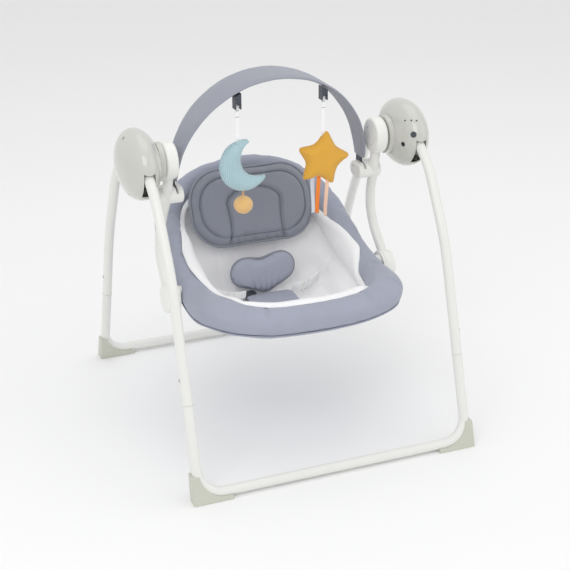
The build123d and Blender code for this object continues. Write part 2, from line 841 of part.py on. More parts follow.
def hoop_band(thick, start_z):
    """A band bent over the child: a half hoop standing on two straight legs from start_z up."""
    outer_r = HOOP_R + thick / 2
    inner_r = HOOP_R - thick / 2
    leg = 60.0
    with BuildPart() as band:
        with BuildSketch(front_facing):
            with Locations((0, HOOP_Z)):
                Circle(outer_r)
            with Locations((0, HOOP_Z - leg / 2)):
                Rectangle(2 * outer_r, leg)
                Rectangle(2 * inner_r, leg, mode=Mode.SUBTRACT)
            with Locations((0, HOOP_Z)):
                Circle(inner_r, mode=Mode.SUBTRACT)
            with Locations((0, start_z)):
                Rectangle(3 * outer_r, outer_r, align=(Align.CENTER, Align.MAX), mode=Mode.SUBTRACT)
        extrude(amount=120, both=True)
    return band.part


def side_outline(inset):
    """The band seen from the side: narrow at its ends and wide over the child."""
    with BuildPart() as outline:
        with BuildSketch(side_plane(-260, 0, 0)):
            with BuildLine():
                Polyline(
                    (SLEEVE_FOOT[0] + inset, SLEEVE_END_Z - 60),
                    (SLEEVE_FOOT[0] + inset, SLEEVE_END_Z),
                    (SLEEVE_TOP[0] + inset, HOOP_TOP_Z + 10),
                    (SLEEVE_TOP[1] - inset, HOOP_TOP_Z + 10),
                    (SLEEVE_FOOT[1] - inset, SLEEVE_END_Z),
                    (SLEEVE_FOOT[1] - inset, SLEEVE_END_Z - 60),
                    close=True,
                )
            make_face()
        extrude(amount=520)
    return outline.part


CAVITY = SLEEVE_THICK - 2 * SLEEVE_WALL
sleeve_band = hoop_band(SLEEVE_THICK, SLEEVE_END_Z)
sleeve_outline = side_outline(0)
cavity_band = hoop_band(CAVITY, SLEEVE_END_Z - 1)
cavity_outline = side_outline(2.5)
sleeve_space = cavity_band & cavity_outline
with BuildPart() as sleeve:
    add(sleeve_band)
    add(sleeve_outline, mode=Mode.INTERSECT)
    add(sleeve_space, mode=Mode.SUBTRACT)
save(sleeve.part, "toy_bar_sleeve")

core_band = hoop_band(CAVITY - 1.6, BAR_END_TOP_Z)
core_outline = side_outline(5.0)
with BuildPart() as core:
    add(core_band)
    add(core_outline, mode=Mode.INTERSECT)
save(core.part, "toy_bar_strip")

bar_end_plane = side_plane(END_X, 0, 0)
with BuildPart() as bar_end:
    with BuildSketch(bar_end_plane):
        with Locations((bar_y, bar_z)):
            Circle(END_R)
        with Locations((bar_y, (bar_z + BAR_END_TOP_Z - 0.5) / 2)):
            Rectangle(2 * END_R, BAR_END_TOP_Z - 0.5 - bar_z)
        with Locations((bar_y, bar_z)):
            Circle(3.0 + FIT, mode=Mode.SUBTRACT)
    extrude(amount=END_THICK)
save_both(bar_end.part, "toy_bar_ends")

# ---------------------------------------------------------------------------------------------
# Hanging toys
# ---------------------------------------------------------------------------------------------

EYE_WIDTH = 9.0
HANGER_PIN_R = 1.6
with BuildPart() as under_sleeve:
    with BuildSketch(Plane(origin=(0, TOY_Y - 30, HOOP_Z), z_dir=(0, 1, 0))):
        Circle(HOOP_R - SLEEVE_THICK / 2 - 0.2)
    extrude(amount=60)


def toy_clip(x):
    """The clip under the sleeve's front edge, with a cross pin for a toy's strap."""
    body = block((x - 6.5, x + 6.5), (TOY_Y - 9, TOY_Y + 9), (TOY_HINGE_Z - 5, HOOP_Z + HOOP_R))
    eye = (x - EYE_WIDTH / 2, x + EYE_WIDTH / 2)
    slot = block(eye, (TOY_Y - 10, TOY_Y + 10), (TOY_HINGE_Z - 6, TOY_HINGE_Z + 6))
    pin = rod(HANGER_PIN_R, x - 6, x + 6, TOY_Y, TOY_HINGE_Z)
    with BuildPart() as clip:
        add(body)
        add(under_sleeve.part, mode=Mode.INTERSECT)
        add(slot, mode=Mode.SUBTRACT)
        add(pin)
    return clip.part


save(Compound([toy_clip(MOON_X), toy_clip(STAR_X)]), "toy_clips")


def strap(x, bottom_z):
    """A flat strap that loops over a clip's pin and ends in the toy's top."""
    with BuildPart() as ribbon:
        with BuildSketch(side_plane(x - STRAP_HALF_WIDTH, TOY_Y, TOY_HINGE_Z)):
            Circle(3.2)
            with Locations((0, (bottom_z - TOY_HINGE_Z) / 2)):
                Rectangle(1.6, TOY_HINGE_Z - bottom_z)
            Circle(HANGER_PIN_R + FIT, mode=Mode.SUBTRACT)
        extrude(amount=2 * STRAP_HALF_WIDTH)
    return ribbon.part


MOON_TOP_Z = 628.0
MOON_R = 54.0
MOON_BITE_R = 40.0
MOON_THICK = 34.0
moon_plane = Plane(origin=(MOON_X, TOY_Y, MOON_TOP_Z), x_dir=(1, 0, 0), z_dir=(0, -1, 0))
with BuildPart() as moon:
    with BuildSketch(moon_plane):
        with Locations((14, -62)):
            Circle(MOON_R)
        with Locations((45, -48)):
            Circle(MOON_BITE_R, mode=Mode.SUBTRACT)
    extrude(amount=MOON_THICK / 2, both=True)
save(moon.part, "moon_toy")
moon_strap_blank = strap(MOON_X, MOON_TOP_Z - 8)
with BuildPart() as moon_strap:
    add(moon_strap_blank)
    add(moon.part, mode=Mode.SUBTRACT)
save(moon_strap.part.solids().sort_by(SortBy.VOLUME)[-1], "moon_strap")

BALL_R = 19.5
BALL_DROP = 146.0
BALL_TOGGLE_Z = 509.6
BALL_TOGGLE_R = 2.0
ball_x = MOON_X + 10
ball_z = MOON_TOP_Z - BALL_DROP
with BuildPart() as ball:
    with BuildSketch(Plane(origin=(ball_x, TOY_Y, ball_z), x_dir=(1, 0, 0), z_dir=(0, -1, 0))):
        Circle(BALL_R)
        Rectangle(2 * BALL_R, 2 * BALL_R, align=(Align.MAX, Align.CENTER), mode=Mode.SUBTRACT)
    revolve(axis=Axis((ball_x, TOY_Y, 0), (0, 0, 1)))
    with BuildSketch(Plane(origin=(ball_x, TOY_Y, ball_z + BALL_R - 1))):
        Circle(1.3)
    extrude(amount=BALL_TOGGLE_Z - ball_z - BALL_R + 1)
ball_toggle = rod(BALL_TOGGLE_R, ball_x - 3, ball_x + 3, TOY_Y, BALL_TOGGLE_Z)
with BuildPart() as hung_ball:
    add([ball.part, ball_toggle])
save(hung_ball.part, "ball_toy")

STAR_R = 61.0
STAR_WAIST_R = 34.0
STAR_Z = 559.0
STAR_TURN = 80.0
STAR_THICK = 32.0
star_plane = Plane(origin=(STAR_X, TOY_Y, STAR_Z), x_dir=(1, 0, 0), z_dir=(0, -1, 0))
star_corners = []
for corner in range(10):
    angle = radians(STAR_TURN + 36 * corner)
    radius = STAR_WAIST_R if corner % 2 else STAR_R
    star_corners.append((radius * cos(angle), radius * sin(angle)))
with BuildPart() as star:
    with BuildSketch(star_plane) as star_outline:
        with BuildLine():
            Polyline(*star_corners, close=True)
        make_face()
        fillet(star_outline.vertices(), 7)
    extrude(amount=STAR_THICK / 2, both=True)
save(star.part, "star_toy")

star_strap_blank = strap(STAR_X, STAR_Z + STAR_WAIST_R)
with BuildPart() as star_strap:
    add(star_strap_blank)
    add(star.part, mode=Mode.SUBTRACT)
save(star_strap.part, "star_strap")

RIBBONS = [(-25, 443), (-11, 440), (9, 431)]
with BuildPart() as ribbons:
    for offset, bottom in RIBBONS:
        with BuildSketch(Plane.XY.offset(bottom)):
            with Locations((STAR_X + offset, TOY_Y)):
                Rectangle(12, 1.2)
        extrude(amount=STAR_Z - 20 - bottom)
    add(star.part, mode=Mode.SUBTRACT)
save(ribbons.part, "star_ribbons")
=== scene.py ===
import json
import math

import bpy
import numpy as np
from mathutils import Matrix, Vector, noise
from mathutils.bvhtree import BVHTree


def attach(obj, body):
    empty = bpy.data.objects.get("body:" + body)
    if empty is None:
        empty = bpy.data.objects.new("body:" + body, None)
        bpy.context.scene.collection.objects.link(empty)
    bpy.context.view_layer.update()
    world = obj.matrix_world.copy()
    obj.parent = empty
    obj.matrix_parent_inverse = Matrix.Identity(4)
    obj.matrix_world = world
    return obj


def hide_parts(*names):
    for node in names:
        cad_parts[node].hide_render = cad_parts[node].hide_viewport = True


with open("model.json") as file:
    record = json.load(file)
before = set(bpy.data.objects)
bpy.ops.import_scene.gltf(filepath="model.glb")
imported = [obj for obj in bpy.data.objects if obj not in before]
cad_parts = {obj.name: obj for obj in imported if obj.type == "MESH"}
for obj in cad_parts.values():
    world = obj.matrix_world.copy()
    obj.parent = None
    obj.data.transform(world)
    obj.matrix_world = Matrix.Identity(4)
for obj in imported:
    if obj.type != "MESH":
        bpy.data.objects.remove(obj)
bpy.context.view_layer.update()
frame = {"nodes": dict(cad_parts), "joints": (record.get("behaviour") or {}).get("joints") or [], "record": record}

# Portable baby swing. Lengths in this file are millimetres, measured like the CAD source: X along
# the swing axis, Y from that axis with the child facing -Y, Z up from the floor. place() turns them
# into the frame's metres.
JOINTS = {joint["name"]: joint for joint in frame["joints"]}
AXIS_Y = JOINTS["swing_axis"]["pos_m"][1]


def place(points):
    """Millimetres from the swing axis to metres in the frame."""
    return np.asarray(points, float) / 1000 + np.array([0, AXIS_Y, 0])


# ------------------------------------------------------------
# Camera: place in metres, angles in degrees, lens and sensor in millimetres
# ------------------------------------------------------------
CAMERA_PLACE = (-0.9607, -2.4501, 1.3873)
CAMERA_TURN = -22.0
CAMERA_DOWN = 22.96
CAMERA_ROLL = -0.24
SENSOR_WIDTH = 36.0
LENS = 83.5

camera_data = bpy.data.cameras.new("camera")
camera = bpy.data.objects.new("camera", camera_data)
bpy.context.scene.collection.objects.link(camera)
camera.location = CAMERA_PLACE
turn = Matrix.Rotation(math.radians(CAMERA_TURN), 4, "Z")
tilt = Matrix.Rotation(math.radians(90 - CAMERA_DOWN), 4, "X")
roll = Matrix.Rotation(math.radians(CAMERA_ROLL), 4, "Z")
camera.rotation_euler = (turn @ tilt @ roll).to_euler()
camera_data.sensor_width = SENSOR_WIDTH
camera_data.lens = LENS
bpy.context.scene.camera = camera


# ------------------------------------------------------------
# Mesh helpers
# ------------------------------------------------------------
def mesh_object(name, verts, faces):
    mesh = bpy.data.meshes.new(name)
    mesh.from_pydata([tuple(v) for v in verts], [], faces)
    mesh.validate()
    mesh.update()
    mesh.polygons.foreach_set("use_smooth", [True] * len(mesh.polygons))
    obj = bpy.data.objects.new(name, mesh)
    bpy.context.scene.collection.objects.link(obj)
    return obj


def spline(rows, count, closed=False):
    """Catmull-Rom curve through rows of numbers, sampled count times."""
    rows = np.asarray(rows, float)
    n = len(rows)
    out = []
    for k in range(count):
        t = k * n / count if closed else k * (n - 1) / (count - 1)
        i = min(int(t), n - 1 if closed else n - 2)
        f = t - i
        if closed:
            a, b, c, d = (rows[(i + j) % n] for j in (-1, 0, 1, 2))
        else:
            a, b, c, d = (rows[min(max(i + j, 0), n - 1)] for j in (-1, 0, 1, 2))
        out.append(0.5 * (2 * b + (c - a) * f + (2 * a - 5 * b + 4 * c - d) * f ** 2
                          + (3 * b - a - 3 * c + d) * f ** 3))
    return np.array(out)


def loft(name, rings, loop=False, caps=True):
    """Skin over closed rings with the same number of points. loop joins the last to the first."""
    rings = [np.asarray(ring, float) for ring in rings]
    m = len(rings[0])
    verts = list(np.concatenate(rings))
    faces = []
    last = len(rings) if loop else len(rings) - 1
    for i in range(last):
        a, b = i * m, (i + 1) % len(rings) * m
        for j in range(m):
            k = (j + 1) % m
            faces.append((a + j, a + k, b + k, b + j))
    if caps and not loop:
        for base, ring, flip in ((0, rings[0], True), ((len(rings) - 1) * m, rings[-1], False)):
            verts.append(ring.mean(0))
            tip = len(verts) - 1
            for j in range(m):
                pair = (base + (j + 1) % m, base + j) if flip else (base + j, base + (j + 1) % m)
                faces.append((*pair, tip))
    return mesh_object(name, verts, faces)


def wobble(point, size, seed=0.0):
    """Smooth noise in -1..1 at a point in metres, for features of this size in metres."""
    p = Vector(point) / size + Vector((seed, seed * 1.7, -seed))
    return noise.noise(p)


def pushed(obj, amount):
    """Moves every vertex along its normal by amount(co, normal) metres."""
    mesh = obj.data
    mesh.update()
    normals = [v.normal.copy() for v in mesh.vertices]
    for v, n in zip(mesh.vertices, normals):
        v.co = v.co + n * amount(v.co, n)
    mesh.update()
    return obj


def subdivided(obj, levels=1):
    modifier = obj.modifiers.new("smooth", "SUBSURF")
    modifier.levels = levels
    modifier.render_levels = levels
    return obj


def baked(obj):
    """Applies every modifier on obj."""
    bpy.context.view_layer.update()
    graph = bpy.context.evaluated_depsgraph_get()
    mesh = bpy.data.meshes.new_from_object(obj.evaluated_get(graph))
    obj.modifiers.clear()
    obj.data = mesh
    mesh.polygons.foreach_set("use_smooth", [True] * len(mesh.polygons))
    return obj


def inflated(obj, voxel=0.005, pressure=4.0, cap=0.006, frames=20):
    """Blows a closed form up as cloth, and lets no point move further than cap metres."""
    remesh = obj.modifiers.new("remesh", "REMESH")
    remesh.mode = "VOXEL"
    remesh.voxel_size = voxel
    baked(obj)
    rest = np.array([v.co for v in obj.data.vertices])
    cloth = obj.modifiers.new("cloth", "CLOTH")
    cloth.settings.quality = 6
    cloth.settings.use_pressure = True
    cloth.settings.uniform_pressure_force = pressure
    cloth.settings.effector_weights.gravity = 0.0
    cloth.settings.tension_stiffness = 15
    cloth.settings.compression_stiffness = 15
    cloth.settings.bending_stiffness = 0.4
    cloth.collision_settings.use_collision = False
    cloth.point_cache.frame_start = 1
    cloth.point_cache.frame_end = frames
    for step in range(1, frames + 1):
        bpy.context.scene.frame_set(step)
    baked(obj)
    bpy.context.scene.frame_set(1)
    moved = np.array([v.co for v in obj.data.vertices]) - rest
    length = np.linalg.norm(moved, axis=1, keepdims=True) + 1e-9
    final = rest + moved / length * cap * np.tanh(length / cap)
    obj.data.vertices.foreach_set("co", final.astype(np.float32).ravel())
    obj.data.update()
    return obj


def cord_mesh(name, points, radius, closed=False, sides=10):
    """A round cord along points in metres."""
    points = np.asarray(points, float)
    n = len(points)
    rings = []
    up = Vector((0, 0, 1))
    side = None
    for i in range(n):
        before = points[(i - 1) % n if closed else max(i - 1, 0)]
        after = points[(i + 1) % n if closed else min(i + 1, n - 1)]
        along = Vector(after - before).normalized()
        if side is None:
            side = along.cross(up if abs(along.z) < 0.9 else Vector((1, 0, 0))).normalized()
        side = (side - along * side.dot(along)).normalized()
        other = along.cross(side)
        rings.append([Vector(points[i]) + radius * (math.cos(a) * side + math.sin(a) * other)
                      for a in np.linspace(0, 2 * math.pi, sides, endpoint=False)])
    return loft(name, rings, loop=closed)


def strap_mesh(name, points, across, width, thick):
    """A flat strap with rounded edges along points in mm; across is its width direction."""
    points = np.asarray(points, float)
    rings = []
    section = [(math.cos(a), math.sin(a)) for a in np.linspace(0, 2 * math.pi, 20, endpoint=False)]
    across = [np.asarray(a, float) / np.linalg.norm(a) for a in across]
    for i, point in enumerate(points):
        along = points[min(i + 1, len(points) - 1)] - points[max(i - 1, 0)]
        along = along / np.linalg.norm(along)
        wide = across[min(i, len(across) - 1)]
        wide = wide - along * np.dot(wide, along)
        wide = wide / np.linalg.norm(wide)
        normal = np.cross(along, wide)
        ring = [point + wide * width / 2 * abs(c) ** 0.35 * np.sign(c)
                + normal * thick / 2 * abs(s) ** 0.6 * np.sign(s) for c, s in section]
        rings.append(place(ring))
    return loft(name, rings)


# ------------------------------------------------------------
# Materials
# ------------------------------------------------------------
class Nodes:
    """A material's node tree with short calls for the nodes used here."""

    def __init__(self, name, colour, roughness, **sockets):
        self.material = bpy.data.materials.new(name)
        self.material.use_nodes = True
        self.tree = self.material.node_tree
        self.shader = self.tree.nodes["Principled BSDF"]
        self.shader.inputs["Base Color"].default_value = (*colour, 1)
        self.shader.inputs["Roughness"].default_value = roughness
        for socket, value in sockets.items():
            self.shader.inputs[socket.replace("_", " ")].default_value = value
        self.place = self.tree.nodes.new("ShaderNodeTexCoord").outputs["Object"]

    def link(self, source, target):
        self.tree.links.new(source, target)

    def noise(self, scale, detail=3.0, distortion=0.0):
        node = self.tree.nodes.new("ShaderNodeTexNoise")
        node.inputs["Scale"].default_value = scale
        node.inputs["Detail"].default_value = detail
        node.inputs["Distortion"].default_value = distortion
        self.link(self.place, node.inputs["Vector"])
        return node.outputs["Fac"]

    def wave(self, scale, direction, distortion=0.0):
        node = self.tree.nodes.new("ShaderNodeTexWave")
        node.bands_direction = direction
        node.inputs["Scale"].default_value = scale
        node.inputs["Distortion"].default_value = distortion
        node.inputs["Detail"].default_value = 1.0
        self.link(self.place, node.inputs["Vector"])
        return node.outputs["Fac"]

    def math(self, operation, a, b):
        node = self.tree.nodes.new("ShaderNodeMath")
        node.operation = operation
        for socket, value in zip(node.inputs, (a, b)):
            if isinstance(value, (int, float)):
                socket.default_value = value
            else:
                self.link(value, socket)
        return node.outputs["Value"]

    def spread(self, source, low, high):
        """Maps a 0..1 value to low..high."""
        node = self.tree.nodes.new("ShaderNodeMapRange")
        self.link(source, node.inputs["Value"])
        node.inputs["To Min"].default_value = low
        node.inputs["To Max"].default_value = high
        return node.outputs["Result"]

    def mix(self, factor, first, second):
        node = self.tree.nodes.new("ShaderNodeMix")
        node.data_type = "RGBA"
        self.link(factor, node.inputs["Factor"])
        node.inputs["A"].default_value = (*first, 1)
        node.inputs["B"].default_value = (*second, 1)
        return node.outputs["Result"]

    def colour(self, factor, first, second):
        self.link(self.mix(factor, first, second), self.shader.inputs["Base Color"])

    def roughness(self, factor, low, high):
        self.link(self.spread(factor, low, high), self.shader.inputs["Roughness"])

    def bump(self, height, strength, distance):
        node = self.tree.nodes.new("ShaderNodeBump")
        node.inputs["Strength"].default_value = strength
        node.inputs["Distance"].default_value = distance
        self.link(height, node.inputs["Height"])
        self.link(node.outputs["Normal"], self.shader.inputs["Normal"])


def scaled(colour, factor):
    return tuple(min(1.0, c * factor) for c in colour)


def woven(name, colour, pitch=0.0011, contrast=0.12, bump=0.35, sheen=0.25, roughness=0.85):
    """Plain weave: threads both ways at this pitch in metres, with soft changes of shade."""
    m = Nodes(name, colour, roughness, Sheen_Weight=sheen, Sheen_Roughness=0.45)
    m.shader.inputs["Specular IOR Level"].default_value = 0.25
    scale = 1 / (2 * pitch)
    warp = m.wave(scale, "DIAGONAL", 0.4)
    weft = m.wave(scale, "Z", 0.4)
    weave = m.math("MULTIPLY", warp, weft)
    slub = m.noise(420.0, 4.0, 0.4)
    shade = m.noise(14.0, 4.0, 0.6)
    mixed = m.math("ADD", m.math("MULTIPLY", weave, 0.35), m.math("MULTIPLY", slub, 0.3))
    mixed = m.math("ADD", mixed, m.math("MULTIPLY", shade, 0.45))
    m.colour(mixed, scaled(colour, 1 - contrast), scaled(colour, 1 + contrast))
    m.roughness(shade, roughness - 0.08, roughness + 0.08)
    m.bump(m.math("ADD", weave, m.math("MULTIPLY", slub, 0.5)), bump, 0.0004)
    return m.material


FINE_PITCH = 0.0009
KNIT_WAVES = 88.0


def satin(name, colour, contrast):
    """Ribbon: a fine weave with more gloss and less sheen."""
    return woven(name, colour, pitch=FINE_PITCH, contrast=contrast, sheen=0.1, roughness=0.55)


def knit(name, colour, second):
    """Ribbed knit with small rows of stitches."""
    m = Nodes(name, colour, 0.9, Sheen_Weight=0.4, Sheen_Roughness=0.5)
    m.shader.inputs["Specular IOR Level"].default_value = 0.2
    rows = m.wave(KNIT_WAVES, "Z", 0.5)
    ribs = m.wave(KNIT_WAVES, "X", 0.5)
    stitches = m.math("MULTIPLY", rows, ribs)
    fuzz = m.noise(600.0, 3.0)
    mixed = m.math("ADD", m.math("MULTIPLY", stitches, 0.75), m.math("MULTIPLY", fuzz, 0.3))
    m.colour(mixed, second, colour)
    m.bump(m.math("ADD", stitches, m.math("MULTIPLY", fuzz, 0.4)), 0.8, 0.0014)
    return m.material


def plush(name, colour, second):
    """Short pile: fine tufts over broader patches."""
    m = Nodes(name, colour, 0.95, Sheen_Weight=0.5, Sheen_Roughness=0.6)
    m.shader.inputs["Specular IOR Level"].default_value = 0.1
    pile = m.noise(700.0, 5.0, 1.2)
    patches = m.noise(70.0, 3.0, 0.8)
    m.colour(m.math("ADD", m.math("MULTIPLY", pile, 0.5), m.math("MULTIPLY", patches, 0.5)), second, colour)
    m.bump(pile, 0.8, 0.0015)
    return m.material


def moulded(name, colour, roughness, coat=0.0, grain=0.15, spots=900.0):
    """Moulded plastic: fine grain, slow changes of shade and of gloss."""
    m = Nodes(name, colour, roughness, Coat_Weight=coat, Coat_Roughness=0.08)
    fine = m.noise(spots, 3.0)
    slow = m.noise(9.0, 4.0, 0.5)
    m.colour(slow, scaled(colour, 0.96), scaled(colour, 1.04))
    m.roughness(m.math("ADD", m.math("MULTIPLY", fine, 0.4), m.math("MULTIPLY", slow, 0.6)),
                max(roughness - 0.05, 0.04), roughness + 0.07)
    m.bump(fine, grain, 0.00015)
    return m.material


def painted(name, colour):
    """Powder coat on steel tube, with a light orange peel."""
    m = Nodes(name, colour, 0.34, Coat_Weight=0.25, Coat_Roughness=0.2)
    peel = m.noise(520.0, 2.0)
    slow = m.noise(6.0, 4.0, 0.4)
    m.colour(slow, scaled(colour, 0.97), scaled(colour, 1.02))
    m.roughness(slow, 0.28, 0.42)
    m.bump(peel, 0.2, 0.0001)
    return m.material


def metal(name, colour, roughness):
    """Drawn metal: fine lines along X."""
    m = Nodes(name, colour, roughness, Metallic=1.0)
    lines = m.wave(1800.0, "X", 6.0)
    slow = m.noise(30.0, 4.0)
    m.colour(slow, scaled(colour, 0.9), scaled(colour, 1.05))
    m.roughness(lines, roughness - 0.06, roughness + 0.1)
    m.bump(lines, 0.12, 0.00005)
    return m.material


GREY_FABRIC = (0.37, 0.39, 0.475)
SLATE_FABRIC = (0.265, 0.28, 0.33)
MATERIALS = {
    "white_tube": painted("white_tube", (0.80, 0.805, 0.77)),
    "pod_shell": moulded("pod_shell", (0.57, 0.575, 0.53), 0.2, coat=0.7, grain=0.08),
    "cream_plastic": moulded("cream_plastic", (0.84, 0.845, 0.81), 0.38, coat=0.15),
    "foot_plastic": moulded("foot_plastic", (0.57, 0.58, 0.50), 0.4, coat=0.2, grain=0.25),
    "steel": metal("steel", (0.58, 0.58, 0.57), 0.3),
    "bush_plastic": moulded("bush_plastic", (0.12, 0.12, 0.12), 0.5),
    "copper": metal("copper", (0.72, 0.36, 0.16), 0.35),
    "board": moulded("board", (0.04, 0.16, 0.08), 0.45),
    # Near-black plastic; where it colours the toy bar's lower ends below the sleeve, this dark colour is painted
    # shade, the hubs' shadow on the band.
    "dark_plastic": moulded("dark_plastic", (0.045, 0.052, 0.068), 0.42, coat=0.1, grain=0.3),
    "cell": moulded("cell", (0.08, 0.08, 0.1), 0.3, coat=0.5),
    "light": moulded("light", (0.05, 0.05, 0.05), 0.15, coat=0.8),
    "grey_fabric": woven("grey_fabric", GREY_FABRIC),
    "slate_fabric": woven("slate_fabric", SLATE_FABRIC),
    "white_fabric": woven("white_fabric", (0.93, 0.93, 0.94), contrast=0.05, bump=0.25),
    "moon_fabric": knit("moon_fabric", (0.64, 0.80, 0.84), (0.36, 0.55, 0.61)),
    "ball_fabric": plush("ball_fabric", (0.90, 0.62, 0.26), (0.80, 0.42, 0.12)),
    "star_fabric": woven("star_fabric", (0.76, 0.41, 0.06), pitch=0.0016, contrast=0.16, bump=0.5),
    "ribbon": satin("ribbon", (0.93, 0.26, 0.04), 0.05),
    "ribbon_peach": satin("ribbon_peach", (0.93, 0.62, 0.46), 0.1),
    "ribbon_pale": satin("ribbon_pale", (0.70, 0.76, 0.84), 0.1),
    "seam_thread": woven("seam_thread", (0.15, 0.17, 0.22), pitch=FINE_PITCH, contrast=0.1),
    "toy_bar_fabric": woven("toy_bar_fabric", (0.315, 0.33, 0.385)),
}

for subpart in frame["record"]["subparts"]:
    node = frame["nodes"][subpart["node"]]
    node.data.materials.clear()
    node.data.materials.append(MATERIALS[subpart["material_slot"]])


def made(obj, body, material, nodes=()):
    """Gives a finished piece its material and body, and hides the CAD nodes it stands in for."""
    obj.data.materials.clear()
    obj.data.materials.append(MATERIALS[material])
    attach(obj, body)
    if nodes:
        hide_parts(*nodes)
    return obj


# ------------------------------------------------------------
# Frame: the step in the paint where each leg plugs into its floor tube
# ------------------------------------------------------------
SEAM_Z = 185.0
LEG_X = 293.0
TUBE_SEAM_R = 10.35
for body, upper, lower in (("front_legs", (-206, 408), (-331, 14)), ("rear_legs", (262, 350), (371, 14))):
    for side, word in ((-1, "left"), (1, "right")):
        f = (upper[1] - SEAM_Z) / (upper[1] - lower[1])
        middle = np.array((side * LEG_X, upper[0] + f * (lower[0] - upper[0]), SEAM_Z))
        along = Vector((0, lower[0] - upper[0], lower[1] - upper[1])).normalized()
        over = np.array(along.cross(Vector((1, 0, 0))))
        circle = [middle + TUBE_SEAM_R * (math.cos(t) * np.array((1, 0, 0)) + math.sin(t) * over)
                  for t in np.linspace(0, 2 * math.pi, 48, endpoint=False)]
        made(cord_mesh(f"{body}_seam_{word}", place(circle), 0.00045, closed=True, sides=8), body,
             "foot_plastic")

# ------------------------------------------------------------
# Seat: padded border
# ------------------------------------------------------------
# Right-hand side from head to foot: centre X, Y, Z, then half the width and half the height
BORDER = [
    (0, 220, 474, 24, 36),
    (75, 216, 463, 25, 38),
    (139, 207, 437, 28, 40),
    (178, 184, 402, 31, 43),
    (192, 138, 372, 31, 43),
    (193, 80, 348, 30, 41),
    (195, 20, 325, 30, 38),
    (197, -45, 308, 33, 35),
    (192, -110, 303, 39, 34),
    (179, -160, 309, 42, 34),
    (153, -200, 308, 37, 34),
    (90, -221, 300, 32, 33),
    (0, -224, 297, 32, 33),
]
left_side = [(-x, y, z, w, h) for x, y, z, w, h in BORDER[-2:0:-1]]
STATIONS = 336
border_rows = spline(BORDER + left_side, STATIONS, closed=True)
ahead = np.roll(border_rows[:, :2], -1, axis=0) - np.roll(border_rows[:, :2], 1, axis=0)
ahead /= np.linalg.norm(ahead, axis=1, keepdims=True)
outward = np.stack([-ahead[:, 1], ahead[:, 0], np.zeros(STATIONS)], axis=1)


def border_point(i, angle, grow=0.0):
    """A point on the border's section at station i; 0 is outward, 90 degrees up."""
    x, y, z, wide, high = border_rows[i % STATIONS]
    c, s = math.cos(angle), math.sin(angle)
    return (np.array([x, y, z]) + outward[i % STATIONS] * (wide + grow) * c
            + np.array([0, 0, (high + grow) * s]))


def nearest_station(x, y):
    return int(np.argmin((border_rows[:, 0] - x) ** 2 + (border_rows[:, 1] - y) ** 2))


def gap(i, j):
    """Stations between i and j round the loop."""
    d = abs(i - j) % STATIONS
    return min(d, STATIONS - d)


# Creases across the border: X and Y of each, its depth in mm, its breadth in stations, and the middle
# and spread in degrees of the angle it covers round the section
CREASES = [(nearest_station(x, y), depth, breadth, math.radians(mid), math.radians(spread))
           for x, y, depth, breadth, mid, spread in (
               (-104, -221, 3.6, 1.0, 75, 50), (104, -221, 3.0, 1.0, 75, 50), (0, 220, 2.6, 1.0, 90, 90),
               (200, -84, 5.0, 1.4, 80, 34), (197, -60, 3.0, 2.0, 115, 45), (195, -68, 3.0, 1.2, 40, 34),
               (180, -186, 3.2, 1.5, 55, 40), (120, -220, 2.4, 1.5, 20, 34), (136, -214, 2.0, 1.2, 60, 30),
               (60, -225, 2.0, 1.8, 5, 34), (34, -226, 1.6, 1.5, 25, 30), (78, -223, 1.8, 1.2, -15, 30),
               (-150, -210, 3.0, 1.6, 60, 50), (-186, -165, 2.6, 2.2, 110, 45),
               (-40, -225, 1.6, 1.6, 10, 30), (-203, -80, 2.6, 1.5, 70, 45), (-196, -20, 2.6, 1.5, 50, 45),
               (-196, 40, 2.8, 1.8, 110, 50), (-193, 100, 3.2, 1.7, 60, 60), (-188, 160, 3.0, 2.0, 100, 60),
               (196, 25, 2.8, 1.8, 110, 50), (193, 110, 3.2, 1.7, 60, 60), (188, 160, 3.0, 2.0, 100, 60),
               (150, 205, 3.2, 1.6, 90, 60), (-150, 205, 3.2, 1.6, 90, 60), (60, 218, 2.0, 2.0, 60, 50),
               (-60, 218, 2.0, 2.0, 60, 50))]
SECTION = 44
SEAM_UNDER = math.radians(322)
SEAM_INSIDE = math.radians(178)
SEAM_REACH = 31


def turned(angle, middle):
    """The difference of two angles, in -pi..pi."""
    return (angle - middle + math.pi) % (2 * math.pi) - math.pi


def border_detail(co, normal):
    """Seams, creases and soft unevenness, from where a vertex is on the border."""
    point = np.array([co.x, co.y - AXIS_Y, co.z]) * 1000
    i = nearest_station(point[0], point[1])
    x, y, z, wide, high = border_rows[i]
    side = (point - (x, y, z)) @ outward[i]
    angle = math.atan2((point[2] - z) / high, side / wide)
    push = 1.5 * wobble(co, 0.085, 3.0) + 0.8 * wobble(co, 0.03, 8.0)
    push += 0.7 * wobble((co.x, co.y, co.z * 2.6), 0.022, 5.0)
    for station, depth, breadth, mid, spread in CREASES:
        away = gap(i, station)
        if away < 5 * breadth + 1:
            push -= depth * math.exp(-(away / breadth) ** 2 - (turned(angle, mid) / spread) ** 2)
    push -= 2.2 * math.exp(-(turned(angle, SEAM_UNDER) * SEAM_REACH / 3.0) ** 2)
    push -= 1.6 * math.exp(-(turned(angle, SEAM_INSIDE) * SEAM_REACH / 3.2) ** 2)
    return push / 1000


border_rings = [[place(border_point(i, 2 * math.pi * k / SECTION, -2.5)) for k in range(SECTION)]
                for i in range(STATIONS)]
border = loft("border_padding", border_rings, loop=True)
inflated(border, voxel=0.006, pressure=3.0, cap=0.004)
baked(subdivided(border))
pushed(border, border_detail)
made(border, "seat", "grey_fabric", nodes=("seat_border", "seat_frame_ring"))

seam_line = [place(border_point(i, SEAM_UNDER, -1.6)) for i in range(0, STATIONS, 2)]
made(cord_mesh("border_under_piping", seam_line, 0.0016, closed=True), "seat", "grey_fabric")

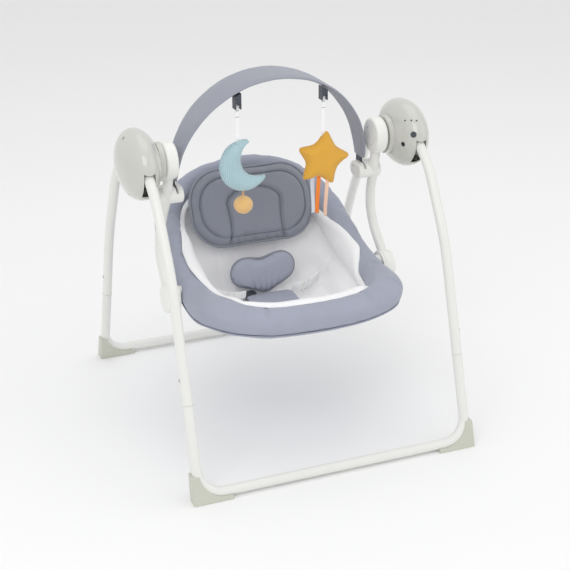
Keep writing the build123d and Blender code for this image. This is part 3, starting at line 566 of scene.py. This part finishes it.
# ------------------------------------------------------------
# Seat: white liner inside and grey cover outside
# ------------------------------------------------------------
# Level, half width, front edge, back edge and corner radius of the hollow
LEVELS = np.array([
    (224, 95, -85, 70, 45),
    (240, 128, -132, 96, 55),
    (268, 148, -166, 118, 60),
    (308, 158, -184, 138, 65),
    (368, 158, -188, 160, 70),
    (428, 154, -188, 176, 75),
    (488, 142, -188, 190, 80),
], float)


def hollow_reach(z, direction, grow):
    """How far the hollow's wall is from (0, 0) at height z in this direction, grown by grow mm."""
    half, front, back, corner = (np.interp(z, LEVELS[:, 0], LEVELS[:, c]) for c in (1, 2, 3, 4))
    half, front, back, corner = half + grow, front - grow, back + grow, corner + grow
    low, high = 0.0, 400.0
    for _ in range(22):
        mid = (low + high) / 2
        x, y = mid * direction[0], mid * direction[1] - (front + back) / 2
        dx = abs(x) - (half - corner)
        dy = abs(y) - ((back - front) / 2 - corner)
        outside = math.hypot(max(dx, 0), max(dy, 0)) + min(max(dx, dy), 0) - corner
        if outside > 0:
            high = mid
        else:
            low = mid
    return (low + high) / 2


def bucket(name, grow, top_angle, first_angle, floor_z, body_detail):
    """A shell hung from the border: round its section, down the wall, then in to the middle.

    top_angle(i) is where it starts on the section at station i and first_angle where it leaves it.
    """
    columns = []
    for i in range(0, STATIONS, 2):
        x, y, z, wide, high = border_rows[i]
        direction = np.array([x, y]) / math.hypot(x, y)
        column = []
        for f in np.linspace(0, 1, 11):
            lift = -3.0
            if grow < 0:
                rise = math.sin(math.pi / 2 * min(f * 4, 1))
                lift = -4.0 + 8.5 * rise + lip_roll(i) * math.sin(math.pi * min(f * 1.6, 1))
            column.append(border_point(i, top_angle(i) + (first_angle - top_angle(i)) * f, lift))
        start = column[-1]
        start_r = math.hypot(start[0], start[1])
        start_z = start[2]
        steps = 26
        for k in range(1, steps + 1):
            f = k / steps
            level = start_z + (floor_z - start_z) * math.sin(f * math.pi / 2) ** 0.9
            wall = hollow_reach(max(level, LEVELS[0, 0]), direction, grow)
            ease = min(1.0, f * 3.5)
            ease = ease * ease * (3 - 2 * ease)
            r = start_r + (wall - start_r) * ease
            column.append(np.array([direction[0] * r, direction[1] * r, level]))
        rim = column[-1]
        for f in np.linspace(0.08, 1.0, 12):
            drop = 2.0 * (1 - (1 - f) ** 2)
            column.append(np.array([rim[0] * (1 - f * 0.97), rim[1] * (1 - f * 0.97), floor_z - drop]))
        columns.append(place(column))
    columns = np.array(columns)
    count, length = columns.shape[:2]
    verts = list(columns.reshape(-1, 3)) + [columns[:, -1].mean(0)]
    faces = []
    for i in range(count):
        j = (i + 1) % count
        for k in range(length - 1):
            faces.append((i * length + k, i * length + k + 1, j * length + k + 1, j * length + k))
        faces.append((i * length + length - 1, count * length, j * length + length - 1))
    shell = mesh_object(name, verts, faces)
    pushed(shell, body_detail)
    return shell


# Where the liner's edge lies on the border's section on each side: Y, then degrees round it
LIP_RIGHT = [(-218, 118), (-206, 140), (-192, 174), (-66, 176), (-50, 140), (-16, 104), (33, 114),
             (97, 150), (172, 180), (210, 186)]
LIP_LEFT = [(-215, 118), (-190, 122), (-120, 130), (-63, 122), (0, 92), (46, 92), (105, 130),
            (172, 172), (210, 186)]


def lip_angle(i):
    x, y = border_rows[i][:2]
    table = LIP_RIGHT if x > 0 else LIP_LEFT
    return math.radians(np.interp(y, *zip(*table)))


def lip_roll(i):
    """How far the liner's soft edge stands off the border: most along the front."""
    x, y = border_rows[i][:2]
    front = min(max((-196 - y) / 22, 0), 1)
    corner = min(max((158 - x) / 40, 0), 1)
    return 8.0 * front * corner


def liner_detail(co, normal):
    """Channel seams down the back, seams to the corners and soft folds."""
    x = co.x * 1000
    y = (co.y - AXIS_Y) * 1000
    z = co.z * 1000
    push = 1.6 * wobble(co, 0.06, 5.0) + 0.5 * wobble(co, 0.018, 2.0)
    if y > 0 and z > 226:
        for channel in (-86, -46, 46, 86):
            push -= 2.4 * math.exp(-((x - channel) / 3.0) ** 2)
    if abs(x) > 90 and z > 232:
        push -= 2.0 * math.exp(-((y - 52 - 0.25 * (z - 240)) / 3.2) ** 2)
        push += 1.6 * math.sin(z / 9.0 + x / 17.0) * math.exp(-((y - 70) / 40.0) ** 2)
    return push / 1000


def cover_detail(co, normal):
    """Soft unevenness and a seam down each side."""
    x = co.x * 1000
    z = co.z * 1000
    push = 1.5 * wobble(co, 0.07, 9.0) + 0.6 * wobble(co, 0.02, 4.0)
    if z > 232:
        for seam in (-120, 120):
            push -= 1.6 * math.exp(-((x - seam) / 3.0) ** 2)
    return push / 1000


def walled(shell, thick):
    """Gives a shell its cloth thickness in metres, and smooths it."""
    modifier = shell.modifiers.new("thick", "SOLIDIFY")
    modifier.thickness = thick
    modifier.offset = 1.0
    return subdivided(shell)


LINER_THICK, COVER_THICK = 0.0022, 0.0018
liner = bucket("seat_liner_fabric", -2.5, lip_angle, math.radians(212), 226.5, liner_detail)
walled(liner, LINER_THICK)
made(liner, "seat", "white_fabric", nodes=("seat_liner",))

cover = bucket("seat_cover_fabric", 4.0, lambda i: SEAM_UNDER, math.radians(262), 218.0, cover_detail)
walled(cover, COVER_THICK)
made(cover, "seat", "grey_fabric", nodes=("seat_cover",))


# ------------------------------------------------------------
# Flat stuffed pieces: an outline in a plane, crowned on both sides, with piping round the seam
# ------------------------------------------------------------
def rounded_outline(width, height, corner, count):
    """Points round a rounded rectangle, evenly by angle."""
    out = []
    for a in np.linspace(0, 2 * math.pi, count, endpoint=False):
        c, s = math.cos(a), math.sin(a)
        low, high = 0.0, width + height
        for _ in range(24):
            mid = (low + high) / 2
            dx = abs(mid * c) - (width / 2 - corner)
            dy = abs(mid * s) - (height / 2 - corner)
            if math.hypot(max(dx, 0), max(dy, 0)) + min(max(dx, dy), 0) > corner:
                high = mid
            else:
                low = mid
        out.append((mid * c, mid * s))
    return np.array(out)


def hull_outline(circles, count):
    """Points round the hull of circles (x, y, r), evenly by angle about their middle."""
    middle = np.mean([(x, y) for x, y, _ in circles], axis=0)
    samples = np.array([(x + r * math.cos(a), y + r * math.sin(a)) for x, y, r in circles
                        for a in np.linspace(0, 2 * math.pi, 90)]) - middle
    out = []
    directions = [np.array((math.cos(b), math.sin(b))) for b in np.linspace(0, 2 * math.pi, 720)]
    support = [(d, (samples @ d).max()) for d in directions]
    for a in np.linspace(0, 2 * math.pi, count, endpoint=False):
        ray = np.array((math.cos(a), math.sin(a)))
        out.append(ray * min(reach / (ray @ d) for d, reach in support if ray @ d > 0.05) + middle)
    return np.array(out)


class Pad:
    """A stuffed piece: rings shrink from its outline to its middle on a front and a back side."""

    def __init__(self, origin, across, normal, outline, middle=(0, 0)):
        self.origin = np.array(origin, float)
        self.normal = np.array(normal, float) / np.linalg.norm(normal)
        self.across = np.array(across, float)
        self.up = np.cross(self.normal, self.across)
        self.outline = outline
        self.middle = np.array(middle, float)

    def at(self, u, v, h):
        return place(self.origin + self.across * u + self.up * v + self.normal * h)

    def local(self, co):
        """Metres to the pad's own u, v and height in mm."""
        p = (np.array(co) - np.array([0, AXIS_Y, 0])) * 1000 - self.origin
        return p @ self.across, p @ self.up, p @ self.normal

    def build(self, name, front, back, inset=0.0, steps=26):
        """front and back give half thickness in mm at (u, v, s), where s is 0 mid and 1 at the edge."""
        count = len(self.outline)
        verts, rings_at = [], []
        levels = [math.sin(math.pi / 2 * k / steps) for k in range(steps, 0, -1)]
        edge = self.outline - self.middle
        edge = edge * (1 - inset / np.linalg.norm(edge, axis=1, keepdims=True))
        for side, height in ((1, front), (-1, back)):
            for s in levels[0 if side > 0 else 1:]:
                rings_at.append(len(verts))
                for u, v in self.middle + edge * s:
                    verts.append(self.at(u, v, side * height(u, v, s)))
            rings_at.append(len(verts))
            verts.append(self.at(*self.middle, side * height(*self.middle, 0.0)))
        front_rings, back_rings = rings_at[:steps], [rings_at[0]] + rings_at[steps + 1:-1]
        faces = []
        for chain, tip, flip in ((front_rings, rings_at[steps], False), (back_rings, rings_at[-1], True)):
            for a, b in zip(chain, chain[1:]):
                for j in range(count):
                    k = (j + 1) % count
                    face = (a + j, a + k, b + k, b + j)
                    faces.append(face[::-1] if flip else face)
            for j in range(count):
                face = (chain[-1] + j, chain[-1] + (j + 1) % count, tip)
                faces.append(face[::-1] if flip else face)
        return mesh_object(name, verts, faces)

    def piping(self, name, radius, shift=0.0, lift=0.0):
        edge = self.outline - self.middle
        edge = edge * (1 + shift / np.linalg.norm(edge, axis=1, keepdims=True))
        return cord_mesh(name, [self.at(u, v, lift) for u, v in self.middle + edge], radius / 1000,
                         closed=True)


def crown(s, power, root):
    """1 in the middle of a pad and 0 at its edge; a higher power keeps it full for longer."""
    return max(0.0, 1 - s ** power) ** root


# Head pillow: an outer ring, two lobes and a lower middle panel
PILLOW_LEAN = math.radians(22)
pillow = Pad((0, 141, 418), (1, 0, 0), (0, -math.cos(PILLOW_LEAN), math.sin(PILLOW_LEAN)),
             rounded_outline(284, 170, 70, 200))
ring_seam = rounded_outline(244, 132, 58, 240)
PANEL_HALF, PANEL_LOW, PANEL_HIGH, PANEL_ARCH = 62, -84, 5, 34
panel_side = [(PANEL_HALF - 4 * math.sin(math.pi * t), PANEL_LOW + (PANEL_HIGH - PANEL_LOW) * t)
              for t in np.linspace(0, 1, 30)]
panel_seam = np.array([(-u, v) for u, v in panel_side]
                      + [(PANEL_HALF * math.cos(a), PANEL_HIGH + PANEL_ARCH * math.sin(a))
                         for a in np.linspace(math.pi, 0, 60)]
                      + panel_side[::-1])
# Each tuck runs from u, v at the edge to u, v where it fades out
TUCKS = [(-30, -86, -26, -48), (-6, -86, -4, -44), (22, -86, 19, -50), (-45, -86, -44, -62),
         (44, -86, 42, -60)]


def near(seam, u, v):
    """Distance in mm from (u, v) to the nearest point of a seam."""
    return math.sqrt(((seam[:, 0] - u) ** 2 + (seam[:, 1] - v) ** 2).min())


def beside(u, v, line):
    """Distance in mm from (u, v) to a line, and how far along it the nearest point is, 0..1."""
    x0, y0, x1, y1 = line
    t = min(max(((u - x0) * (x1 - x0) + (v - y0) * (y1 - y0)) / ((x1 - x0) ** 2 + (y1 - y0) ** 2), 0), 1)
    return math.hypot(u - x0 - t * (x1 - x0), v - y0 - t * (y1 - y0)), t


def pillow_front(u, v, s):
    """Half thickness of the pillow's front in mm: two lobes beside a dish for the head."""
    lobes = 5.0 * math.exp(-((abs(u) - 92) / 36) ** 2 - ((v + 4) / 52) ** 2)
    dish = 3.0 * math.exp(-(u / 50) ** 2 - ((v + 30) / 50) ** 2)
    return max(17.0 * crown(s, 5.0, 0.5) + (lobes - dish) * crown(s, 3.0, 1.0), 0.0)


def pillow_seams(u, v):
    """How deep the seams and tucks pull the front of the pillow in, in mm."""
    ring_depth = 5.5 if v > -60 else 2.5
    depth = ring_depth * math.exp(-(near(ring_seam, u, v) / 4.0) ** 2)
    depth += 7.5 * math.exp(-(near(panel_seam, u, v) / 4.6) ** 2)
    for line in TUCKS:
        away, t = beside(u, v, line)
        depth += 3.0 * (1 - t) * math.exp(-(away / 2.6) ** 2)
    return depth


def soft_folds(scale, amount, seed):
    """Unevenness for pushed(): amount in mm, features of this scale in metres."""
    return lambda co, normal: amount / 1000 * (wobble(co, scale, seed)
                                               + 0.45 * wobble(co, scale / 3, seed + 5))


def sewn(pad, obj, depth_at):
    """Pulls the front of a stuffed piece in by depth_at(u, v) mm along its seams."""
    def pull(co, normal):
        u, v, h = pad.local(co)
        return -depth_at(u, v) / 1000 * min(max(h / 4, 0), 1)
    return pushed(obj, pull)


def seam_threads(pad, obj, name, seam, closed):
    """A line of stitching laid in a seam of the pillow, 0.3 mm off its finished front."""
    tree = BVHTree.FromObject(obj, bpy.context.evaluated_depsgraph_get())
    ahead_of = Vector(place(pad.origin + pad.normal * 60)) - Vector(place(pad.origin))
    points = []
    for u, v in seam:
        start = Vector(pad.at(u, v, 0)) + ahead_of
        hit = tree.ray_cast(start, -ahead_of.normalized())[0]
        if hit is not None:
            points.append(hit + ahead_of.normalized() * 0.3 / 1000)
    thread = cord_mesh(name, points, 0.0008, closed=closed, sides=8)
    return made(thread, "seat", "seam_thread")


pillow_pad = pillow.build("head_pillow_pad", pillow_front, lambda u, v, s: 11.0 * crown(s, 4.0, 0.5),
                          inset=0.5, steps=36)
inflated(pillow_pad, voxel=0.0045, pressure=4.0, cap=0.004)
baked(subdivided(pillow_pad))
sewn(pillow, pillow_pad, pillow_seams)
pushed(pillow_pad, soft_folds(0.05, 1.2, 4.0))
seam_threads(pillow, pillow_pad, "head_pillow_ring_seam", ring_seam, True)
seam_threads(pillow, pillow_pad, "head_pillow_panel_seam", panel_seam[4:-4], False)
made(pillow_pad, "seat", "slate_fabric", nodes=("head_pillow",))
made(pillow.piping("head_pillow_piping", 3.2, shift=-2.2), "seat", "slate_fabric")

# Crotch pad: bean-shaped, gathered at its lower edge
bean = Pad((0, 70, 286), (1, 0, 0), (0, -1, 0.12),
           hull_outline([(-45, 3, 33), (38, 7, 34), (0, -16, 31)], 180))
dip = bean.outline[:, 1] > 0
bean.outline[dip, 1] -= 6.0 * np.exp(-((bean.outline[dip, 0] + 6) / 22.0) ** 2)
GATHERS = [(-24, -46, -32, -6), (-12, -46, -15, 2), (0, -46, 0, -4), (12, -46, 15, 0), (24, -46, 32, -8)]


def bean_gathers(u, v):
    """How deep the gathers pull the crotch pad's front in, in mm."""
    depth = 0.0
    for line in GATHERS:
        away, t = beside(u, v, line)
        depth += 4.0 * (1 - t) ** 0.6 * math.exp(-(away / 2.6) ** 2)
    return depth


bean_pad = bean.build("crotch_pad_fill", lambda u, v, s: 14.0 * crown(s, 2.8, 0.5),
                      lambda u, v, s: 7.5 * crown(s, 3.0, 0.5), inset=0.5, steps=30)
inflated(bean_pad, voxel=0.004, pressure=4.0, cap=0.003)
baked(subdivided(bean_pad))
sewn(bean, bean_pad, bean_gathers)
pushed(bean_pad, soft_folds(0.03, 0.8, 6.0))
made(bean_pad, "seat", "grey_fabric", nodes=("crotch_pad",))
made(bean.piping("crotch_pad_piping", 2.6, shift=-1.6), "seat", "slate_fabric")

# Crotch strap under the pad: a soft tongue with a scalloped end, lying on the liner
tongue = Pad((4, 24, 236.5), (1, 0, 0), (0, -0.12, 1), rounded_outline(108, 62, 14, 120))
tongue_pad = tongue.build("crotch_strap_tongue", lambda u, v, s: 3.4 * crown(s, 5.0, 0.5),
                          lambda u, v, s: 2.6 * crown(s, 5.0, 0.5), steps=20)
pushed(tongue_pad, soft_folds(0.02, 0.8, 1.0))
subdivided(tongue_pad)
made(tongue_pad, "seat", "grey_fabric", nodes=("crotch_strap",))

# Waist straps: soft webbing from each side wall to the middle, with a slider on each
STRAP_ACROSS = np.array((0, -0.5, 0.87))
STRAP_FRONT = np.array((0, -0.87, -0.5))
SLIDER_BARS = ((12, 17), (16, 17))
for side, word in ((-1, "left"), (1, "right")):
    route = spline([(side * 128, 62, 266), (side * 110, 54, 256), (side * 92, 47, 251),
                    (side * 73, 42, 250), (side * 54, 40, 251)], 26)
    strap = strap_mesh(f"waist_strap_{word}", route, [STRAP_ACROSS], 27, 2.6)
    pushed(strap, soft_folds(0.02, 0.5, 3.0 + side))
    subdivided(strap)
    made(strap, "seat", "white_fabric", nodes=("waist_straps",))
    for k, (station, half) in enumerate(SLIDER_BARS):
        bar = [route[station] + STRAP_ACROSS * w + STRAP_FRONT * 1.8 for w in np.linspace(-half, half, 9)]
        made(cord_mesh(f"slider_bar_{word}_{k}", place(bar), 0.0016), "seat", "cream_plastic")

# ------------------------------------------------------------
# Toy bar: fabric sleeve
# ------------------------------------------------------------
# The sleeve stops at SLEEVE_END_Z and leaves the toy bar's dark plastic ends bare below it; their dark colour is
# painted shade, the shadow the hubs cast on the band's lower ends.
HOOP_R, HOOP_Z, SLEEVE_END_Z = 210.0, 530.0, 544.0
SLEEVE_STEPS = 220
start_angle = math.asin(5 / HOOP_R)
rings = []
for k in range(SLEEVE_STEPS + 1):
    a = start_angle + (math.pi - 2 * start_angle) * k / SLEEVE_STEPS
    rise = max(HOOP_Z + HOOP_R * math.sin(a) - SLEEVE_END_Z, 0) / 206
    front_y, back_y = 9 - 47 * rise, 63 + 9 * rise
    end = min(k, SLEEVE_STEPS - k)
    centre_y = (front_y + back_y) / 2
    half = (back_y - front_y) / 2 * (1 - 0.12 * max(0, 1 - end / 12) ** 2)
    ring = []
    for t in np.linspace(0, 2 * math.pi, 48, endpoint=False):
        c, s = math.cos(t), math.sin(t)
        wide = abs(c) ** 0.55 * np.sign(c)
        high = abs(s) ** 0.75 * np.sign(s)
        across = half * wide
        thick = 4.0 * high
        edge = half - abs(across)
        thick -= 0.9 * np.sign(high) * math.exp(-((edge - 7) / 1.6) ** 2)
        if end < 4:
            thick *= 0.86 + 0.035 * end
        y = centre_y + across
        x, z = HOOP_R * math.cos(a), HOOP_Z + HOOP_R * math.sin(a)
        metres = place((x, y, z))
        ripple = 0.8 * wobble(metres, 0.05, 7.0) + 0.35 * wobble(metres, 0.015, 2.0)
        r = HOOP_R + thick + ripple
        ring.append(place((r * math.cos(a), y, HOOP_Z + r * math.sin(a))))
    rings.append(ring)
sleeve = loft("toy_bar_sleeve_fabric", rings)
subdivided(sleeve)
made(sleeve, "toy_bar", "toy_bar_fabric", nodes=("toy_bar_sleeve", "toy_bar_strip"))

# ------------------------------------------------------------
# Hanging toys
# ------------------------------------------------------------
TOY_Y = -24.0
HINGE_Z = 690.0
MOON_X, MOON_TOP_Z = -90.0, 628.0
STAR_X, STAR_Z = 97.0, 559.0
SEAM_CORD_R = 0.0009


def hanger(name, x, bottom_z, body, node):
    """A strap looped over the clip's pin, sewn together below it and run down into the toy."""
    loop = [(x, TOY_Y + 2.4 * math.sin(a), HINGE_Z + 2.4 * math.cos(a)) for a in np.linspace(-2.4, 2.4, 16)]
    front = [(x, TOY_Y - 0.8, HINGE_Z - 5), (x, TOY_Y - 0.7, HINGE_Z - 20), (x, TOY_Y - 0.7, bottom_z)]
    back = [(x, TOY_Y + 0.8, HINGE_Z - 5), (x, TOY_Y + 0.7, HINGE_Z - 14), (x, TOY_Y + 0.7, HINGE_Z - 26)]
    route = spline(front[::-1] + loop + back, 90)
    strap = strap_mesh(name, route, [(1, 0, 0)], 8.5, 1.2)
    made(strap, body, "white_fabric", nodes=(node,))
    for k, z in enumerate((HINGE_Z - 9, HINGE_Z - 22)):
        stitch = [(x + w, TOY_Y - 1.5, z) for w in np.linspace(-3.6, 3.6, 9)]
        made(cord_mesh(f"{name}_stitch_{k}", place(stitch), 0.0004), body, "seam_thread")


# Moon: two circles make the crescent; its sections are lenses that meet in a seam round the edge
outer_centre, outer_r = np.array((14.0, -62.0)), 53.5
bite_centre, bite_r = np.array((45.0, -48.0)), 40.5
between = bite_centre - outer_centre
span = np.linalg.norm(between)
toward = between / span
reach = (span ** 2 + outer_r ** 2 - bite_r ** 2) / (2 * span)
half_chord = math.sqrt(outer_r ** 2 - reach ** 2)
base_angle = math.atan2(toward[1], toward[0])
outer_open = math.atan2(half_chord, reach)
bite_open = math.atan2(half_chord, reach - span)
rings = []
MOON_STEPS = 84
for k in range(MOON_STEPS + 1):
    t = k / MOON_STEPS
    soft = 0.5 - 0.5 * math.cos(math.pi * t)
    a_out = base_angle + outer_open + 0.22 + (2 * math.pi - 2 * outer_open - 0.44) * soft
    a_in = base_angle + bite_open + 0.12 + (2 * math.pi - 2 * bite_open - 0.24) * soft
    outer = outer_centre + outer_r * np.array((math.cos(a_out), math.sin(a_out)))
    inner = bite_centre + bite_r * np.array((math.cos(a_in), math.sin(a_in)))
    centre, half = (outer + inner) / 2, (outer - inner) / 2
    tip = min(k, MOON_STEPS - k)
    half = half * math.sqrt(max(0.0, 1 - (1 - min((tip + 0.35) / 9.0, 1)) ** 2))
    width = np.linalg.norm(half)
    depth = min(16.0, 0.95 * width ** 0.95 + 2.0)
    ring = []
    for phi in np.linspace(0, 2 * math.pi, 32, endpoint=False):
        c, s = math.cos(phi), math.sin(phi)
        u, v = centre + half * abs(c) ** 0.95 * np.sign(c)
        h = depth * abs(s) ** 0.9 * np.sign(s)
        ring.append(place((MOON_X + u, TOY_Y - h, MOON_TOP_Z + v)))
    rings.append(ring)
moon = loft("moon_plush", rings)
pushed(moon, soft_folds(0.025, 1.0, 2.0))
subdivided(moon)
made(moon, "moon", "moon_fabric", nodes=("moon_toy",))
seam_ends = base_angle + outer_open + 0.16, base_angle + 2 * math.pi - outer_open - 0.16
seam = [place((MOON_X + outer_centre[0] + outer_r * math.cos(a), TOY_Y,
               MOON_TOP_Z + outer_centre[1] + outer_r * math.sin(a))) for a in np.linspace(*seam_ends, 90)]
made(cord_mesh("moon_seam", seam, SEAM_CORD_R), "moon", "moon_fabric")
hanger("moon_hanger", MOON_X, MOON_TOP_Z - 12, "moon", "moon_strap")

# Ball: short pile, with a cord loop up to the moon
BALL_X, BALL_Z, BALL_R = MOON_X + 10, MOON_TOP_Z - 146, 19.5
rings = []
for lat in np.linspace(-math.pi / 2 + 0.05, math.pi / 2 - 0.05, 46):
    level_r, level_z = BALL_R * math.cos(lat), BALL_Z + BALL_R * 0.97 * math.sin(lat)
    rings.append([place((BALL_X + level_r * math.cos(lon), TOY_Y + level_r * math.sin(lon), level_z))
                  for lon in np.linspace(0, 2 * math.pi, 64, endpoint=False)])
ball = loft("ball_plush", rings)
pushed(ball, lambda co, n: (0.5 * wobble(co, 0.012, 1.0) + 0.55 * wobble(co, 0.0028, 2.0)
                            + 0.3 * wobble(co, 0.0014, 3.0)) / 1000)
subdivided(ball)
made(ball, "ball", "ball_fabric", nodes=("ball_toy",))
loop_points = []
for t in np.linspace(0, 1, 30):
    sway = math.sin(2 * math.pi * t) * 1.6
    loop_points.append((BALL_X + sway, TOY_Y, BALL_Z + BALL_R - 2 + 12.5 * math.sin(math.pi * t)))
made(cord_mesh("ball_loop", place(loop_points), SEAM_CORD_R), "ball", "ball_fabric")

# Star: five soft points, turned a little, with a seam round its edge
STAR_ANGLES = (82, 118, 154, 188, 223, 257, 291, 327, 362, 400)
STAR_POINT_R, STAR_NOTCH_R, STAR_HALF = 62.0, 36.0, 15.5
corners = []
for corner, degrees in enumerate(STAR_ANGLES):
    angle = math.radians(degrees)
    radius = STAR_NOTCH_R if corner % 2 else STAR_POINT_R
    corners.append(np.array((radius * math.cos(angle), radius * math.sin(angle))))
outline = []
for k in range(len(corners)):
    a, b = corners[k], corners[(k + 1) % len(corners)]
    outline += [a + (b - a) * f for f in np.linspace(0, 1, 22, endpoint=False)]
outline = np.array(outline)
for _ in range(26):
    outline = (np.roll(outline, 1, axis=0) + 2 * outline + np.roll(outline, -1, axis=0)) / 4
star = Pad((STAR_X, TOY_Y, STAR_Z), (1, 0, 0), (0, -1, 0), outline)


def star_puff(u, v, s):
    """Half thickness of the star in mm: full from 21 mm in, rounded down to its seam."""
    distance = near(outline, u, v) if s < 1 else 0.0
    return STAR_HALF * math.sqrt(max(0.0, 1 - (1 - min(distance / 21.0, 1.0)) ** 2))


star_body = star.build("star_plush", star_puff, star_puff, steps=30)
pushed(star_body, lambda co, n: (0.8 * wobble(co, 0.02, 4.0) + 0.5 * wobble(co, 0.007, 9.0)) / 1000)
subdivided(star_body)
made(star_body, "star", "star_fabric", nodes=("star_toy",))
made(star.piping("star_seam", 0.9), "star", "star_fabric")
hanger("star_hanger", STAR_X, STAR_Z + 48, "star", "star_strap")

# Ribbons under the star: X from its middle, lower end's Z, width, material and bend
RIBBONS = [(-24, 443, 10, "ribbon_pale", 0.5), (-8, 440, 8.5, "ribbon", -0.7),
           (12, 431, 7.5, "ribbon_peach", -0.9)]
for index, (offset, bottom, wide, material, bend) in enumerate(RIBBONS):
    top = STAR_Z - 26
    route, turns = [], []
    for f in np.linspace(0, 1, 30):
        z = top + (bottom - top) * f
        route.append((STAR_X + offset + bend * 6 * math.sin(f * 2.4),
                      TOY_Y + bend * 5 * math.sin(f * 4.0), z))
        turns.append((math.cos(bend * 0.9 * f), math.sin(bend * 0.9 * f), 0))
    ribbon = strap_mesh(f"star_ribbon_{index}", route, turns, wide, 0.8)
    made(ribbon, "star", material, nodes=("star_ribbons",))

# ------------------------------------------------------------
# Floor and light
# ------------------------------------------------------------
FLOOR_REACH = 30.0
FLOOR_DROP = 0.0005
WORLD_LIGHT = 0.80
floor = mesh_object("floor", [(FLOOR_REACH * x, FLOOR_REACH * y, 0) for x, y in
                              ((-1, -1), (1, -1), (1, 1), (-1, 1))], [(0, 1, 2, 3)])
floor.location.z = -FLOOR_DROP
floor_look = Nodes("floor_look", (0.93, 0.93, 0.93), 0.8)
floor_look.roughness(floor_look.noise(3.0), 0.7, 0.9)
floor.data.materials.append(floor_look.material)

bpy.context.scene.view_settings.view_transform = "Standard"
world = bpy.data.worlds.new("world")
bpy.context.scene.world = world
world.use_nodes = True
world.node_tree.nodes["Background"].inputs["Color"].default_value = (1, 1, 1, 1)
world.node_tree.nodes["Background"].inputs["Strength"].default_value = WORLD_LIGHT


def lamp(name, where, size, power, target=(0, 0, 0.4)):
    """A square lamp: place and size in metres, power in watts, turned to the target."""
    data = bpy.data.lights.new(name, "AREA")
    data.size = size
    data.energy = power
    light = bpy.data.objects.new(name, data)
    bpy.context.scene.collection.objects.link(light)
    light.location = where
    light.rotation_euler = (Vector(target) - Vector(where)).to_track_quat("-Z", "Y").to_euler()


lamp("key", (-1.6, -2.2, 2.8), 2.0, 27)
lamp("fill", (2.6, -1.6, 1.8), 2.4, 9)
lamp("top", (0.2, 0.4, 3.2), 2.6, 13)
